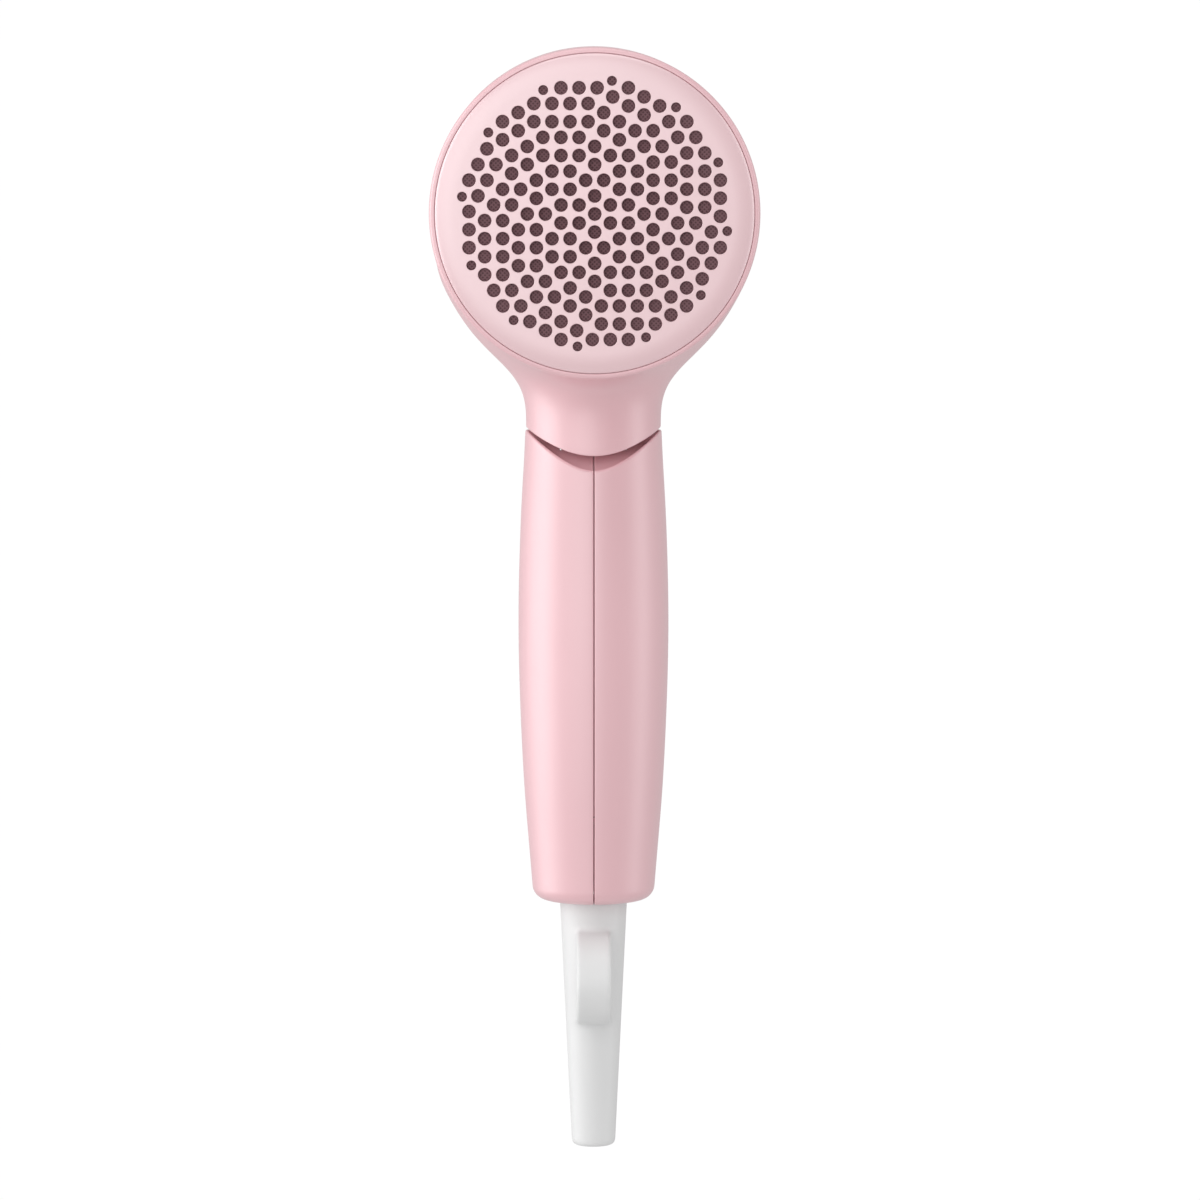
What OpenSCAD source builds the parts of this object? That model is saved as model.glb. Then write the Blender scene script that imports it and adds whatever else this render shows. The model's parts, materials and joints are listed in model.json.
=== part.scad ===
// Folding hair dryer: head, fold joint, two-part handle and tail. Millimetres.
// X is left to right, Y runs from the inlet to the outlet, Z is up. The origin is the middle of the grip.

/* [Head] */
// Height of the barrel axis above the middle of the grip
head_z = 110; // [100:0.5:120]
// Outside radius of the barrel
barrel_r = 40; // [36:0.1:44]
// Position of the barrel's rear rim
barrel_rear = -41; // [-46:0.5:-38]
// Position of the barrel's front end
barrel_front = 74; // [68:0.5:82]
// Outside radius of the barrel at its front end
barrel_front_r = 27; // [26:0.1:30]
// Wall of the housing
head_wall = 2.2; // [1.8:0.1:3]

/* [Rear cap] */
// Radius of the cap's face
cap_r = 38.6; // [36:0.1:40]
// Radius where the flat of the cap ends and its edge begins to curve
cap_flat_r = 33.7; // [32:0.1:36]
// How far the cap's face stands out behind the rim
cap_rise = 2.4; // [1:0.1:4]
// Thickness of the cap
cap_t = 1.8; // [1.4:0.1:2.5]
// Distance between neighbouring air holes
hole_pitch = 4.345; // [4:0.005:4.6]
// Radius of an air hole
hole_r = 1.635; // [1.4:0.005:1.8]
// Radius of the twelve outermost air holes
small_hole_r = 1.185; // [1:0.005:1.4]
// Distance of the outermost holes from the centre, in pitches
small_hole_ring = 7.41; // [7.3:0.01:7.6]

/* [Neck and fold joint] */
// Height of the fold axis
fold_z = 34.2; // [30:0.1:38]
// Radius of the handle's domed top about the fold axis
dome_r = 20.8; // [20:0.1:22]
// Radius of the neck where it meets the handle
neck_r = 16.8; // [16:0.1:18]
// Radius of the arch cut in the neck's lower end
arch_r = 25.7; // [24:0.1:27]
// Height of the top of that arch
arch_top = 55.6; // [55.3:0.1:57]
// Height of the neck's front edge, cut high so that it clears the handle when folded
front_cut_z = 53.9; // [53.5:0.1:56]
// Largest fold angle
fold_max = 90; // [80:1:92]
// Half the width of the knuckle between the handle's cheeks
knuckle_half = 8; // [7:0.1:9]
// Radius of the knuckle's ears
ear_r = 12.5; // [10:0.1:14]
// Radius of the hinge pins
pin_r = 3; // [2.5:0.05:3.5]
// Radial clearance of the hinge pins
pin_gap = 0.06; // [0.02:0.01:0.1]

/* [Handle] */
// Radius of the handle at its top
grip_top_r = 16.8; // [16:0.1:18]
// Radius of the handle at its widest
grip_r = 18.7; // [18:0.1:20]
// Height of the widest place
grip_wide_z = 7; // [0:1:12]
// Radius of the handle just above its bottom corner
grip_low_r = 15.3; // [14:0.1:17]
// Height of the handle's bottom
grip_low_z = -62.5; // [-66:0.5:-58]
// Wall of the handle
grip_wall = 2.2; // [1.8:0.1:3]
// Width of the seam between the halves
seam_w = 0.36; // [0.2:0.02:0.6]
// Depth of the seam
seam_d = 0.5; // [0.3:0.05:0.8]

/* [Switch] */
// Travel of the slide switch from off to high
switch_travel = 8; // [6:0.5:10]
// Height of the middle of the switch window
switch_z = 6; // [0:0.5:12]
// Half the width of the knob
knob_half = 5; // [4:0.1:6]

/* [Tail] */
// Radius of the tail at the handle
tail_top_r = 8.4; // [8:0.1:9]
// Radius of the tail at its end
tail_end_r = 5.4; // [5:0.1:6]
// Height of the tail's end
tail_end_z = -125; // [-130:0.5:-118]
// Radius of the bore for the supply cord
cord_r = 3.4; // [3:0.05:3.8]
// Height of the middle of the hanging loop
loop_z = -81.5; // [-84:0.5:-76]
// Width of the hanging loop
loop_w = 8.6; // [7:0.1:10]
// Outside radius of the hanging loop
loop_r = 11.5; // [10:0.1:13]
// Radius of the hole in the hanging loop
loop_hole_r = 5; // [4:0.1:6]
// Distance of the loop's centre behind the tail's axis
loop_y = 12; // [10:0.5:14]

/* [Fan and heater] */
// Radius of the fan impeller
fan_r = 33; // [30:0.1:34]
// Number of blades
fan_blades = 9; // [7:1:13]
// Radius of the motor can
motor_r = 12.5; // [11:0.1:14]
// Radius of the motor shaft
shaft_r = 1; // [0.8:0.05:1.5]
// Outside radius of the outlet collar
collar_r = 24; // [22:0.1:26]
// How far the outlet collar stands out in front of the barrel
collar_l = 9; // [7:0.5:12]
// Radius of the heating coils
coil_r = 16.5; // [14:0.1:18]
// Number of turns of the heating coils
coil_turns = 9; // [6:1:12]

/* [Hidden] */
$fn = 96;
// Distance below the barrel axis and radius of the flare from barrel to neck
flare = [
  [0, 37.8], [6, 38.8], [10, 39.2], [13, 39.1], [17.4, 37.9], [22.4, 35.6], [27.3, 32.6], [30, 30.7],
  [32.3, 28.7], [35, 26.1], [37.5, 23.7], [40, 21.3], [42.6, 19.3], [45, 18], [47.6, 17.2],
  [50.5, neck_r], [54, neck_r - 0.1]
];
neck_low_z = 44;
neck_floor_z = fold_z + dome_r + 4;
// Barrel outline from rear to front: position and radius
barrel = [
  [barrel_rear, barrel_r - 0.9], [barrel_rear + 0.4, barrel_r - 0.35], [barrel_rear + 1.3, barrel_r],
  [-8, barrel_r], [0, barrel_r - 0.15], [8, barrel_r - 0.5], [16, barrel_r - 1.15],
  [24, barrel_r - 2.05], [32, barrel_r - 3.25], [40, barrel_r - 4.7], [47, barrel_r - 6.15],
  [54, barrel_r - 7.75], [60, barrel_r - 9.2], [66, barrel_r - 10.75], [70, barrel_r - 11.8],
  [barrel_front - 1, barrel_front_r + 0.4], [barrel_front, barrel_front_r - 0.4]
];
// Handle outline from bottom to top: height and radius
grip = [
  [grip_low_z, grip_low_r - 3.2], [grip_low_z + 0.6, grip_low_r - 1.5],
  [grip_low_z + 1.9, grip_low_r - 0.35], [grip_low_z + 4, grip_low_r], [-53, grip_r - 2.95],
  [-48, grip_r - 2.5], [-42.5, grip_r - 2.05], [-37.5, grip_r - 1.65], [-31, grip_r - 1.23],
  [-25, grip_r - 0.9], [-19, grip_r - 0.62], [-12.5, grip_r - 0.38], [-3, grip_r - 0.1],
  [grip_wide_z, grip_r], [14, grip_r - 0.06], [20, grip_r - 0.18], [26, grip_r - 0.36],
  [32, grip_r - 0.6], [37.5, grip_r - 0.84], [42.4, grip_r - 1.1], [47.5, grip_r - 1.42],
  [52.8, grip_top_r + 0.15], [58, grip_top_r]
];
ring_steps = [
  [0, 1, 1, 0], [1, 1, 1, 0], [1, 1, 1, 1], [1, 2, 1, 0], [1, 2, 1, 1], [0, 2, 2, 1], [2, 2, 1, 1],
  [1, 2, 2, 1], [0, 2, 3, 1], [2, 3, 1, 1], [1, 3, 2, 1], [0, 3, 3, 1], [3, 3, 1, 1], [2, 3, 2, 1],
  [1, 3, 3, 1]
];
small_hole_angle = 22.6;
face_y = barrel_rear - cap_rise;
gap = 0.35;
cheek_t = 2.2;
slot_half = knuckle_half + gap;
slot_from = -30;
slot_to = fold_max + 32;
slot_steps = 10;
knuckle_bore_r = 3.2;
flange_t = 2.5;
floor_t = 2.5;
tail_neck_r = 6.5;
boss_r = 2.8;
screw_r = 1.1;
screw_high = [12, 20.2];
screw_low = [12, -30];
clamp_z = -47;
clamp_x = 8.6;
duct_r = 36;
duct_wall = 2;
coil_pitch = 3;
lead_r = 0.95;
lead_x = 1.7;

// Step vectors at -30, 0, 30 and 60 degrees, added up
function step_sum(s) = [
  s[0] * cos(30) + s[1] + s[2] * cos(30) + s[3] * cos(60),
  -s[0] * sin(30) + s[2] * sin(30) + s[3] * sin(60)
];

function outline(list, inset, from, to) = concat(
  [[0, from], [lookup(from, list) - inset, from]],
  [for (p = list) if (p[0] > from + 0.1 && p[0] < to - 0.1) [p[1] - inset, p[0]]],
  [[lookup(to, list) - inset, to], [0, to]]
);

// Puts a part drawn about Z onto the barrel axis, with its z = 0 at y
module on_barrel(y) {
  translate([0, y, head_z])
    rotate([-90, 0, 0])
      children();
}

// Turns a part drawn about Z onto a line along X, at y and z
module across(y, z) {
  translate([0, y, z])
    rotate([0, 90, 0])
      children();
}

// Extrudes a flat shape drawn in Y and Z along X, centred
module slab(w) {
  rotate([90, 0, 90])
    linear_extrude(height = w, center = true)
      children();
}

module ring(r_out, r_in, h) {
  difference() {
    cylinder(r = r_out, h = h);
    translate([0, 0, -1])
      cylinder(r = r_in, h = h + 2);
  }
}

module barrel_solid(inset, from, to) {
  on_barrel(0)
    rotate_extrude()
      polygon(outline(barrel, inset, from, to));
}

module flare_solid(inset, low_z) {
  rotate_extrude()
    polygon(concat(
      [[0, low_z], [neck_r - inset, low_z]],
      [for (i = [len(flare) - 1 : -1 : 0]) [flare[i][1] - inset, head_z - flare[i][0]]],
      [[0, head_z]]
    ));
}

module head_housing() {
  color("lightpink")
    difference() {
      union() {
        barrel_solid(0, barrel_rear, barrel_front);
        flare_solid(0, neck_low_z);
      }
      barrel_solid(head_wall, barrel_rear - 1, barrel_front - 2);
      flare_solid(head_wall, neck_floor_z);
      across(0, arch_top - arch_r)
        cylinder(r = arch_r, h = 60, center = true);
      translate([-30, 0, neck_low_z - 1])
        cube([60, 30, front_cut_z - neck_low_z + 1]);
      on_barrel(barrel_rear - 1)
        cylinder(r = cap_r + 0.1, h = 2.6);
      on_barrel(barrel_front - 3)
        cylinder(r = collar_r - 0.2, h = 4);
      translate([-knuckle_half - 0.1, -knuckle_half - 0.1, fold_z])
        cube([2 * knuckle_half + 0.2, 2 * knuckle_half + 0.2, 30]);
      for (x = [-11, 11])
        translate([x, 0, neck_floor_z - 5])
          cylinder(r = screw_r, h = 6);
    }
}

module cap_holes() {
  for (k = [0 : 5])
    rotate([0, 0, 30 + 60 * k])
      translate([hole_pitch, 0, 0])
        cylinder(r = hole_r, h = 6, $fn = 32);
  for (s = ring_steps)
    for (k = [0 : 11])
      rotate([0, 0, 30 * k])
        translate([hole_pitch * step_sum(s)[0], hole_pitch * step_sum(s)[1], 0])
          cylinder(r = hole_r, h = 6, $fn = 32);
  for (k = [0 : 11])
    rotate([0, 0, 30 * k + small_hole_angle])
      translate([hole_pitch * small_hole_ring, 0, 0])
        cylinder(r = small_hole_r, h = 6, $fn = 32);
  cylinder(r = hole_r, h = 6, $fn = 32);
}

// Drawn with the face looking down its own +Z, so that the holes keep their hand seen from behind
module rear_cap() {
  color("pink")
    translate([0, face_y, head_z])
      rotate([90, 0, 0])
        difference() {
          rotate_extrude()
            polygon([
              [0, 0], [cap_flat_r, 0], [35.6, -0.15], [37.1, -0.6], [38.1, -1.25], [cap_r, -2.1],
              [cap_r, -4], [37.6, -4], [37.6, -7.4], [36.5, -7.4], [36.5, -2.4], [34.6, -cap_t], [0, -cap_t]
            ]);
          translate([0, 0, -4])
            cap_holes();
        }
}

module inlet_filter() {
  color("dimgray")
    on_barrel(face_y + cap_t + 0.1)
      difference() {
        cylinder(r = 34.5, h = 0.4);
        translate([0, 0, -1])
          cylinder(r = 0.6, h = 3);
      }
}

module outlet_collar() {
  color("gray")
    on_barrel(barrel_front - 4)
      difference() {
        union() {
          cylinder(r = collar_r + 1.4, h = 2);
          cylinder(r = collar_r - 0.3, h = 4.5);
          translate([0, 0, 4.5])
            cylinder(r = collar_r, h = collar_l - 0.5);
        }
        translate([0, 0, -1])
          cylinder(r = collar_r - 2, h = collar_l + 6);
      }
}

module outlet_grille() {
  color("dimgray")
    on_barrel(barrel_front + 1)
      difference() {
        union() {
          for (r = [6.5, 11.5, 16.5])
            ring(r + 0.5, r - 0.5, 1.6);
          ring(collar_r - 2, collar_r - 3, 2);
          cylinder(r = 2.5, h = 1.6);
          for (a = [0 : 60 : 300])
            rotate([0, 0, a])
              translate([1.5, -0.5, 0])
                cube([collar_r - 3.9, 1, 1.6]);
        }
        translate([0, 0, -1])
          cylinder(r = 0.8, h = 4);
      }
}

module fan_duct() {
  color("ivory")
    union() {
      on_barrel(0)
        rotate_extrude()
          polygon([
            [duct_r - duct_wall, -30], [duct_r, -30], [duct_r, 14], [24.6, 30], [24.6, 40],
            [22.6, 40], [22.6, 30], [duct_r - duct_wall, 14]
          ]);
      on_barrel(-3)
        ring(motor_r + 1.6, motor_r, 17);
      for (a = [0 : 360 / 7 : 359])
        on_barrel(-2)
          rotate([0, 0, a])
            translate([motor_r + 1, 0, 7])
              rotate([24, 0, 0])
                translate([0, -0.6, -6.5])
                  cube([duct_r - duct_wall - motor_r - 0.6, 1.2, 13]);
    }
}

module motor_can() {
  color("silver")
    on_barrel(-5)
      difference() {
        union() {
          cylinder(r = motor_r, h = 27);
          translate([0, 0, -1.5])
            cylinder(r = 3.2, h = 2);
        }
        translate([0, 0, -3])
          cylinder(r = shaft_r + 0.05, h = 40);
      }
}

module motor_brush_cap() {
  color("black")
    on_barrel(22)
      difference() {
        union() {
          cylinder(r = motor_r - 0.6, h = 4);
          translate([0, 0, 3])
            cylinder(r = 4, h = 3);
        }
        translate([0, 0, -1])
          cylinder(r = shaft_r + 0.05, h = 4.5);
        for (s = [-1, 1])
          translate([s * 8 - 1.5, -1, 2])
            cube([3, 2, 3]);
      }
}

module motor_shaft() {
  color("lightgray")
    on_barrel(-21)
      cylinder(r = shaft_r, h = 45.5);
}

module fan_impeller() {
  color("whitesmoke")
    difference() {
      union() {
        on_barrel(-20)
          cylinder(r = 9, h = 12);
        on_barrel(-22.5)
          cylinder(r = 5, h = 3);
        for (k = [0 : fan_blades - 1])
          on_barrel(-14)
            rotate([0, 0, k * 360 / fan_blades])
              translate([8, 0, 0])
                rotate([-48, 0, 0])
                  translate([0, -0.6, -6.5])
                    cube([fan_r - 8.4, 1.2, 13]);
      }
      on_barrel(-21)
        cylinder(r = shaft_r, h = 14);
    }
}

module mica_tube() {
  color("tan")
    on_barrel(31)
      ring(22.5, 21.9, barrel_front - 4.2 - 31);
}

module mica_cross() {
  color("khaki")
    difference() {
      for (a = [45, 135])
        on_barrel(36)
          rotate([0, 0, a])
            translate([-21.8, -0.4, 0])
              cube([43.6, 0.8, 31]);
      for (i = [0 : coil_turns - 1])
        on_barrel(39 + i * coil_pitch)
          ring(coil_r + 0.8, coil_r - 0.8, 1.6);
    }
}

module heater_coils() {
  color("sienna")
    for (i = [0 : coil_turns - 1])
      on_barrel(39.8 + i * coil_pitch)
        rotate_extrude()
          translate([coil_r, 0])
            circle(r = 0.55, $fn = 16);
}

module thermostat() {
  color("gainsboro")
    union() {
      on_barrel(58)
        translate([-4, 5.2, 0])
          cube([8, 6, 3]);
      on_barrel(60.5)
        translate([0, 8.2, 0])
          cylinder(r = 2.6, h = 2);
    }
}

module thermal_fuse() {
  color("silver")
    union() {
      on_barrel(50)
        translate([8.5, 0, 0])
          cylinder(r = 1.6, h = 9);
      on_barrel(44)
        translate([8.5, 0, 0])
          cylinder(r = 0.4, h = 21);
    }
}

module rectifier_diodes() {
  color("black")
    for (a = [0 : 90 : 270])
      on_barrel(26)
        rotate([0, 0, a + 45])
          translate([8, 0, 0])
            cylinder(r = 1.4, h = 5);
}

module head_leads() {
  color("firebrick")
    for (x = [-lead_x, lead_x])
      translate([x, 0, fold_z + 1.4])
        cylinder(r = lead_r, h = head_z - duct_r - fold_z - 2.4);
}

module hinge_knuckle() {
  color("hotpink")
    difference() {
      union() {
        for (s = [-1, 1])
          across(0, fold_z)
            translate([0, 0, s * (knuckle_half - 1.5) - 1.5])
              cylinder(r = ear_r, h = 3);
        translate([-knuckle_half, -knuckle_half, fold_z + 9])
          cube([2 * knuckle_half, 2 * knuckle_half, neck_floor_z - fold_z - 9]);
        translate([0, 0, neck_floor_z])
          cylinder(r = 14.4, h = flange_t);
      }
      across(0, fold_z)
        cylinder(r = pin_r + pin_gap, h = 40, center = true);
      translate([0, 0, fold_z])
        cylinder(r = knuckle_bore_r, h = 40);
      for (x = [-11, 11])
        translate([x, 0, neck_floor_z - 1])
          cylinder(r = screw_r + 0.2, h = 6);
    }
}

module knuckle_screws() {
  color("silver")
    for (x = [-11, 11])
      difference() {
        union() {
          translate([x, 0, neck_floor_z - 3])
            cylinder(r = screw_r, h = flange_t + 3.2);
          translate([x, 0, neck_floor_z + flange_t])
            cylinder(r = 2.2, h = 1.5);
        }
        translate([x - 1.5, -0.3, neck_floor_z + flange_t + 0.8])
          cube([3, 0.6, 2]);
      }
}

// The handle's outside or its hollow: a revolved body under a dome about the fold axis
module grip_solid(inset, low_z, turn = 0) {
  difference() {
    rotate([0, 0, turn])
      rotate_extrude()
        polygon(outline(grip, inset, low_z, 58));
    difference() {
      translate([-30, -30, fold_z])
        cube([60, 60, 40]);
      across(0, fold_z)
        cylinder(r = dome_r - inset, h = 80, center = true);
    }
  }
}

module swing_slot() {
  translate([0, 0, fold_z])
    slab(2 * slot_half)
      polygon(concat(
        [[0, 0]],
        [
          for (i = [0 : slot_steps])
            let (a = slot_from + (slot_to - slot_from) * i / slot_steps) [34 * sin(a), 34 * cos(a)]
        ]
      ));
}

module screw_bosses() {
  for (p = [screw_high, screw_low])
    across(p[0], p[1])
      cylinder(r = boss_r, h = 24, center = true);
  for (x = [-clamp_x, clamp_x])
    translate([x, -0.2, clamp_z])
      rotate([90, 0, 0])
        cylinder(r = boss_r, h = 12.4);
}

// Cheeks and screw bosses, cut to the handle's inside
module inner_walls(turn) {
  intersection() {
    grip_solid(grip_wall - 0.4, grip_low_z + 1, turn);
    union() {
      for (s = [-1, 1])
        translate([s * (slot_half + cheek_t / 2), 0, fold_z + 3])
          cube([cheek_t, 40, 36], center = true);
      screw_bosses();
    }
  }
}

module screw_holes() {
  for (p = [screw_high, screw_low]) {
    across(p[0], p[1])
      translate([0, 0, -9])
        cylinder(r = screw_r, h = 9.1);
    across(p[0], p[1])
      cylinder(r = screw_r + 0.2, h = 10);
    across(p[0], p[1])
      translate([0, 0, 9])
        cylinder(r = 2.4, h = 12);
  }
  for (x = [-clamp_x, clamp_x])
    translate([x, 0, clamp_z])
      rotate([90, 0, 0])
        cylinder(r = screw_r, h = 10);
}

module seam_groove(turn) {
  difference() {
    translate([-seam_w / 2, -25, grip_low_z - 1])
      cube([seam_w, 50, 130]);
    grip_solid(seam_d, grip_low_z, turn);
  }
}

module switch_window(half, margin, depth) {
  translate([-half, depth, switch_z - switch_travel / 2 - margin])
    cube([2 * half, 30, switch_travel + 2 * margin]);
}

// turn moves the closing line of the revolved surfaces onto the half that is cut away
module handle_shell(turn) {
  difference() {
    union() {
      difference() {
        grip_solid(0, grip_low_z, turn);
        grip_solid(grip_wall, grip_low_z + floor_t, turn);
      }
      inner_walls(turn);
    }
    swing_slot();
    across(0, fold_z)
      cylinder(r = pin_r, h = 2 * (slot_half + cheek_t) + 1, center = true);
    translate([0, 0, grip_low_z - 1])
      cylinder(r = tail_neck_r, h = 8);
    switch_window(6.4, 7, 8);
    screw_holes();
    seam_groove(turn);
  }
}

module handle_left() {
  color("lightpink")
    difference() {
      handle_shell(0);
      translate([0, -40, -100])
        cube([60, 80, 200]);
    }
}

module handle_right() {
  color("pink")
    difference() {
      handle_shell(180);
      translate([-60, -40, -100])
        cube([60, 80, 200]);
    }
}

module hinge_pin(s) {
  color("silver")
    across(0, fold_z)
      union() {
        translate([0, 0, s > 0 ? 5.2 : -slot_half - cheek_t])
          cylinder(r = pin_r, h = slot_half + cheek_t - 5.2);
        translate([0, 0, s > 0 ? slot_half + cheek_t : -slot_half - cheek_t - 1.4])
          cylinder(r = pin_r + 1.5, h = 1.4);
      }
}

module hinge_pin_left() {
  hinge_pin(-1);
}

module hinge_pin_right() {
  hinge_pin(1);
}

module fold_detent() {
  color("silver")
    translate([5, -ear_r - 0.7, fold_z - 9])
      cube([slot_half - 5, 0.3, 10]);
}

module switch_bezel() {
  color("whitesmoke")
    difference() {
      intersection() {
        switch_window(6.3, 6.9, 12.5);
        rotate_extrude()
          polygon(outline(grip, -0.15, -20, 30));
      }
      switch_window(3.3, 4.3, 5);
    }
}

module switch_knob() {
  color("white")
    difference() {
      union() {
        translate([-3, 9.6, switch_z - switch_travel / 2 - 4])
          cube([6, 10, 8]);
        difference() {
          translate([-knob_half, 15, switch_z - switch_travel / 2 - 6])
            cube([2 * knob_half, grip_r - 15 + 3, 12]);
          rotate_extrude()
            polygon(outline(grip, -0.5, -30, 36));
        }
      }
      for (k = [-1 : 1])
        translate([-6, grip_r + 2.5, switch_z - switch_travel / 2 + 3 * k - 0.5])
          cube([12, 1, 1]);
    }
}

module switch_body() {
  color("dimgray")
    difference() {
      translate([-5.6, 2.5, switch_z - switch_travel / 2 - 7])
        cube([11.2, 9.6, switch_travel + 14]);
      switch_window(3.3, 4.4, 9.2);
    }
}

module switch_terminals() {
  color("gold")
    for (k = [-1 : 1])
      translate([-1.5, -1.5, switch_z + 5 * k - 0.4])
        cube([3, 4, 0.8]);
}

module circuit_board() {
  color("green")
    translate([-8.5, -10.2, -41])
      cube([17, 1.5, 30]);
}

module capacitor() {
  color("royalblue")
    translate([0, -8.7, -33])
      rotate([-90, 0, 0])
        cylinder(r = 4, h = 8);
}

module handle_leads() {
  color("firebrick")
    union() {
      for (x = [-lead_x, lead_x])
        translate([x, 0, switch_z + 7])
          cylinder(r = lead_r, h = fold_z - switch_z - 8.4);
      for (x = [-lead_x, lead_x])
        translate([x, 3, -43])
          cylinder(r = lead_r, h = 37);
    }
}

module cord_clamp() {
  color("gainsboro")
    difference() {
      translate([-clamp_x - 3, 0, clamp_z - 3])
        cube([2 * clamp_x + 6, 6, 6]);
      translate([0, 0, clamp_z - 4])
        cylinder(r = cord_r + 0.2, h = 8);
      for (x = [-clamp_x, clamp_x])
        translate([x, 8, clamp_z])
          rotate([90, 0, 0])
            cylinder(r = screw_r + 0.2, h = 10);
    }
}

module clamp_screws() {
  color("silver")
    for (x = [-clamp_x, clamp_x])
      translate([x, 0, clamp_z])
        rotate([-90, 0, 0])
          union() {
            translate([0, 0, -8])
              cylinder(r = screw_r, h = 14.2);
            translate([0, 0, 6])
              cylinder(r = 2.2, h = 1.5);
          }
}

module handle_screws() {
  color("silver")
    for (p = [screw_high, screw_low])
      across(p[0], p[1])
        union() {
          translate([0, 0, -8])
            cylinder(r = screw_r, h = 17.2);
          translate([0, 0, 9])
            cylinder(r = 2.2, h = 1.5);
        }
}

module tail() {
  color("white")
    difference() {
      union() {
        rotate_extrude()
          polygon([
            [0, tail_end_z], [tail_end_r - 1.4, tail_end_z], [tail_end_r - 0.4, tail_end_z + 0.5],
            [tail_end_r, tail_end_z + 1.8], [tail_top_r, grip_low_z - 0.1], [tail_neck_r, grip_low_z - 0.1],
            [tail_neck_r, grip_low_z + floor_t], [tail_neck_r + 2.5, grip_low_z + floor_t],
            [tail_neck_r + 2.5, grip_low_z + floor_t + 2], [0, grip_low_z + floor_t + 2]
          ]);
        across(-loop_y - 0.4, loop_z)
          cylinder(r = loop_r - 2.1, h = loop_w, center = true);
        translate([0, 0, loop_z])
          slab(loop_w)
            polygon([
              [-4, -loop_r], [-8, -loop_r], [-loop_y - 1.6, -loop_r + 2.2], [-loop_y - 1.6, loop_r - 2.2],
              [-8, loop_r], [-4, loop_r]
            ]);
      }
      translate([0, 0, tail_end_z - 1])
        cylinder(r = cord_r, h = 80);
      across(-loop_y - 1, loop_z)
        cylinder(r = loop_hole_r, h = 20, center = true);
    }
}

head_housing();
rear_cap();
inlet_filter();
outlet_collar();
outlet_grille();
fan_duct();
motor_can();
motor_brush_cap();
motor_shaft();
fan_impeller();
mica_tube();
mica_cross();
heater_coils();
thermostat();
thermal_fuse();
rectifier_diodes();
head_leads();
hinge_knuckle();
knuckle_screws();
handle_left();
handle_right();
hinge_pin_left();
hinge_pin_right();
fold_detent();
switch_bezel();
switch_knob();
switch_body();
switch_terminals();
circuit_board();
capacitor();
handle_leads();
cord_clamp();
clamp_screws();
handle_screws();
tail();
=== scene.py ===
import json
import math

import bmesh
import bpy
import numpy as np
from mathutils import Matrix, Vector
from mathutils.geometry import delaunay_2d_cdt


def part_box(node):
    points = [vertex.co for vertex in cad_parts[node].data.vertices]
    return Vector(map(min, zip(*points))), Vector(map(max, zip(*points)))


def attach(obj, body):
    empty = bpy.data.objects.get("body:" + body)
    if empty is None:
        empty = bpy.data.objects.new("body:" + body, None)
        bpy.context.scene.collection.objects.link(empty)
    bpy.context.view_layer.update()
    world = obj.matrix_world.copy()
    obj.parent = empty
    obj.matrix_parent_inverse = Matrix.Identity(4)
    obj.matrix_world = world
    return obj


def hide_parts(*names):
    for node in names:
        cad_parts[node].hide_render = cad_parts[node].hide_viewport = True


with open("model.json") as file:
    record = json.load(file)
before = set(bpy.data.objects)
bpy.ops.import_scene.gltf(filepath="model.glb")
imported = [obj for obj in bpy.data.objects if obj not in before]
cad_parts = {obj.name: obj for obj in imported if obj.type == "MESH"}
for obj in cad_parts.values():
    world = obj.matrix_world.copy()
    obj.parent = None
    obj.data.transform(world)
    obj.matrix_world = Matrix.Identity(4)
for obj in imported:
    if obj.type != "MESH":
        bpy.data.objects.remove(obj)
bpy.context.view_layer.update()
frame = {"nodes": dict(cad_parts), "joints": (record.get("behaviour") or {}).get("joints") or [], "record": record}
nodes = frame["nodes"]
joints = {j["name"]: j for j in frame["joints"]}

MM = 0.001
AXIS_Z = joints["fan_spin"]["pos_m"][2] / MM
FOLD_Z = joints["handle_fold"]["pos_m"][2] / MM


def mm_box(node):
    low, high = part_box(node)
    return np.array(low) / MM, np.array(high) / MM


# ---------------------------------------------------------------- curves and meshes
def spline(xs, ys):
    """Natural cubic spline through the points, as a function; it runs on straight past both ends."""
    xs, ys = np.array(xs, float), np.array(ys, float)
    n = len(xs)
    h = np.diff(xs)
    a = np.eye(n)
    b = np.zeros(n)
    for i in range(1, n - 1):
        a[i, i - 1 : i + 2] = h[i - 1], 2 * (h[i - 1] + h[i]), h[i]
        b[i] = 6 * ((ys[i + 1] - ys[i]) / h[i] - (ys[i] - ys[i - 1]) / h[i - 1])
    m = np.linalg.solve(a, b)

    def at(x):
        x = np.asarray(x, float)
        q = np.clip(x, xs[0], xs[-1])
        i = np.clip(np.searchsorted(xs, q) - 1, 0, n - 2)
        t, u = q - xs[i], xs[i + 1] - q
        v = (m[i] * u**3 + m[i + 1] * t**3) / (6 * h[i])
        v += (ys[i] / h[i] - m[i] * h[i] / 6) * u + (ys[i + 1] / h[i] - m[i + 1] * h[i] / 6) * t
        low = (ys[1] - ys[0]) / h[0] - h[0] * m[1] / 6
        high = (ys[-1] - ys[-2]) / h[-1] + h[-1] * m[-2] / 6
        return v + np.minimum(x - xs[0], 0) * low + np.maximum(x - xs[-1], 0) * high

    return at


def smoothstep(a, b, x):
    t = np.clip((x - a) / (b - a), 0, 1)
    return t * t * (3 - 2 * t)


def new_object(name, verts, faces, smooth=True, angle=None):
    mesh = bpy.data.meshes.new(name)
    mesh.from_pydata([tuple(v) for v in np.asarray(verts, float) * MM], [], [tuple(f) for f in faces])
    mesh.validate()
    mesh.update()
    obj = bpy.data.objects.new(name, mesh)
    bpy.context.scene.collection.objects.link(obj)
    if smooth:
        shade(obj, angle)
    return obj


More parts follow.
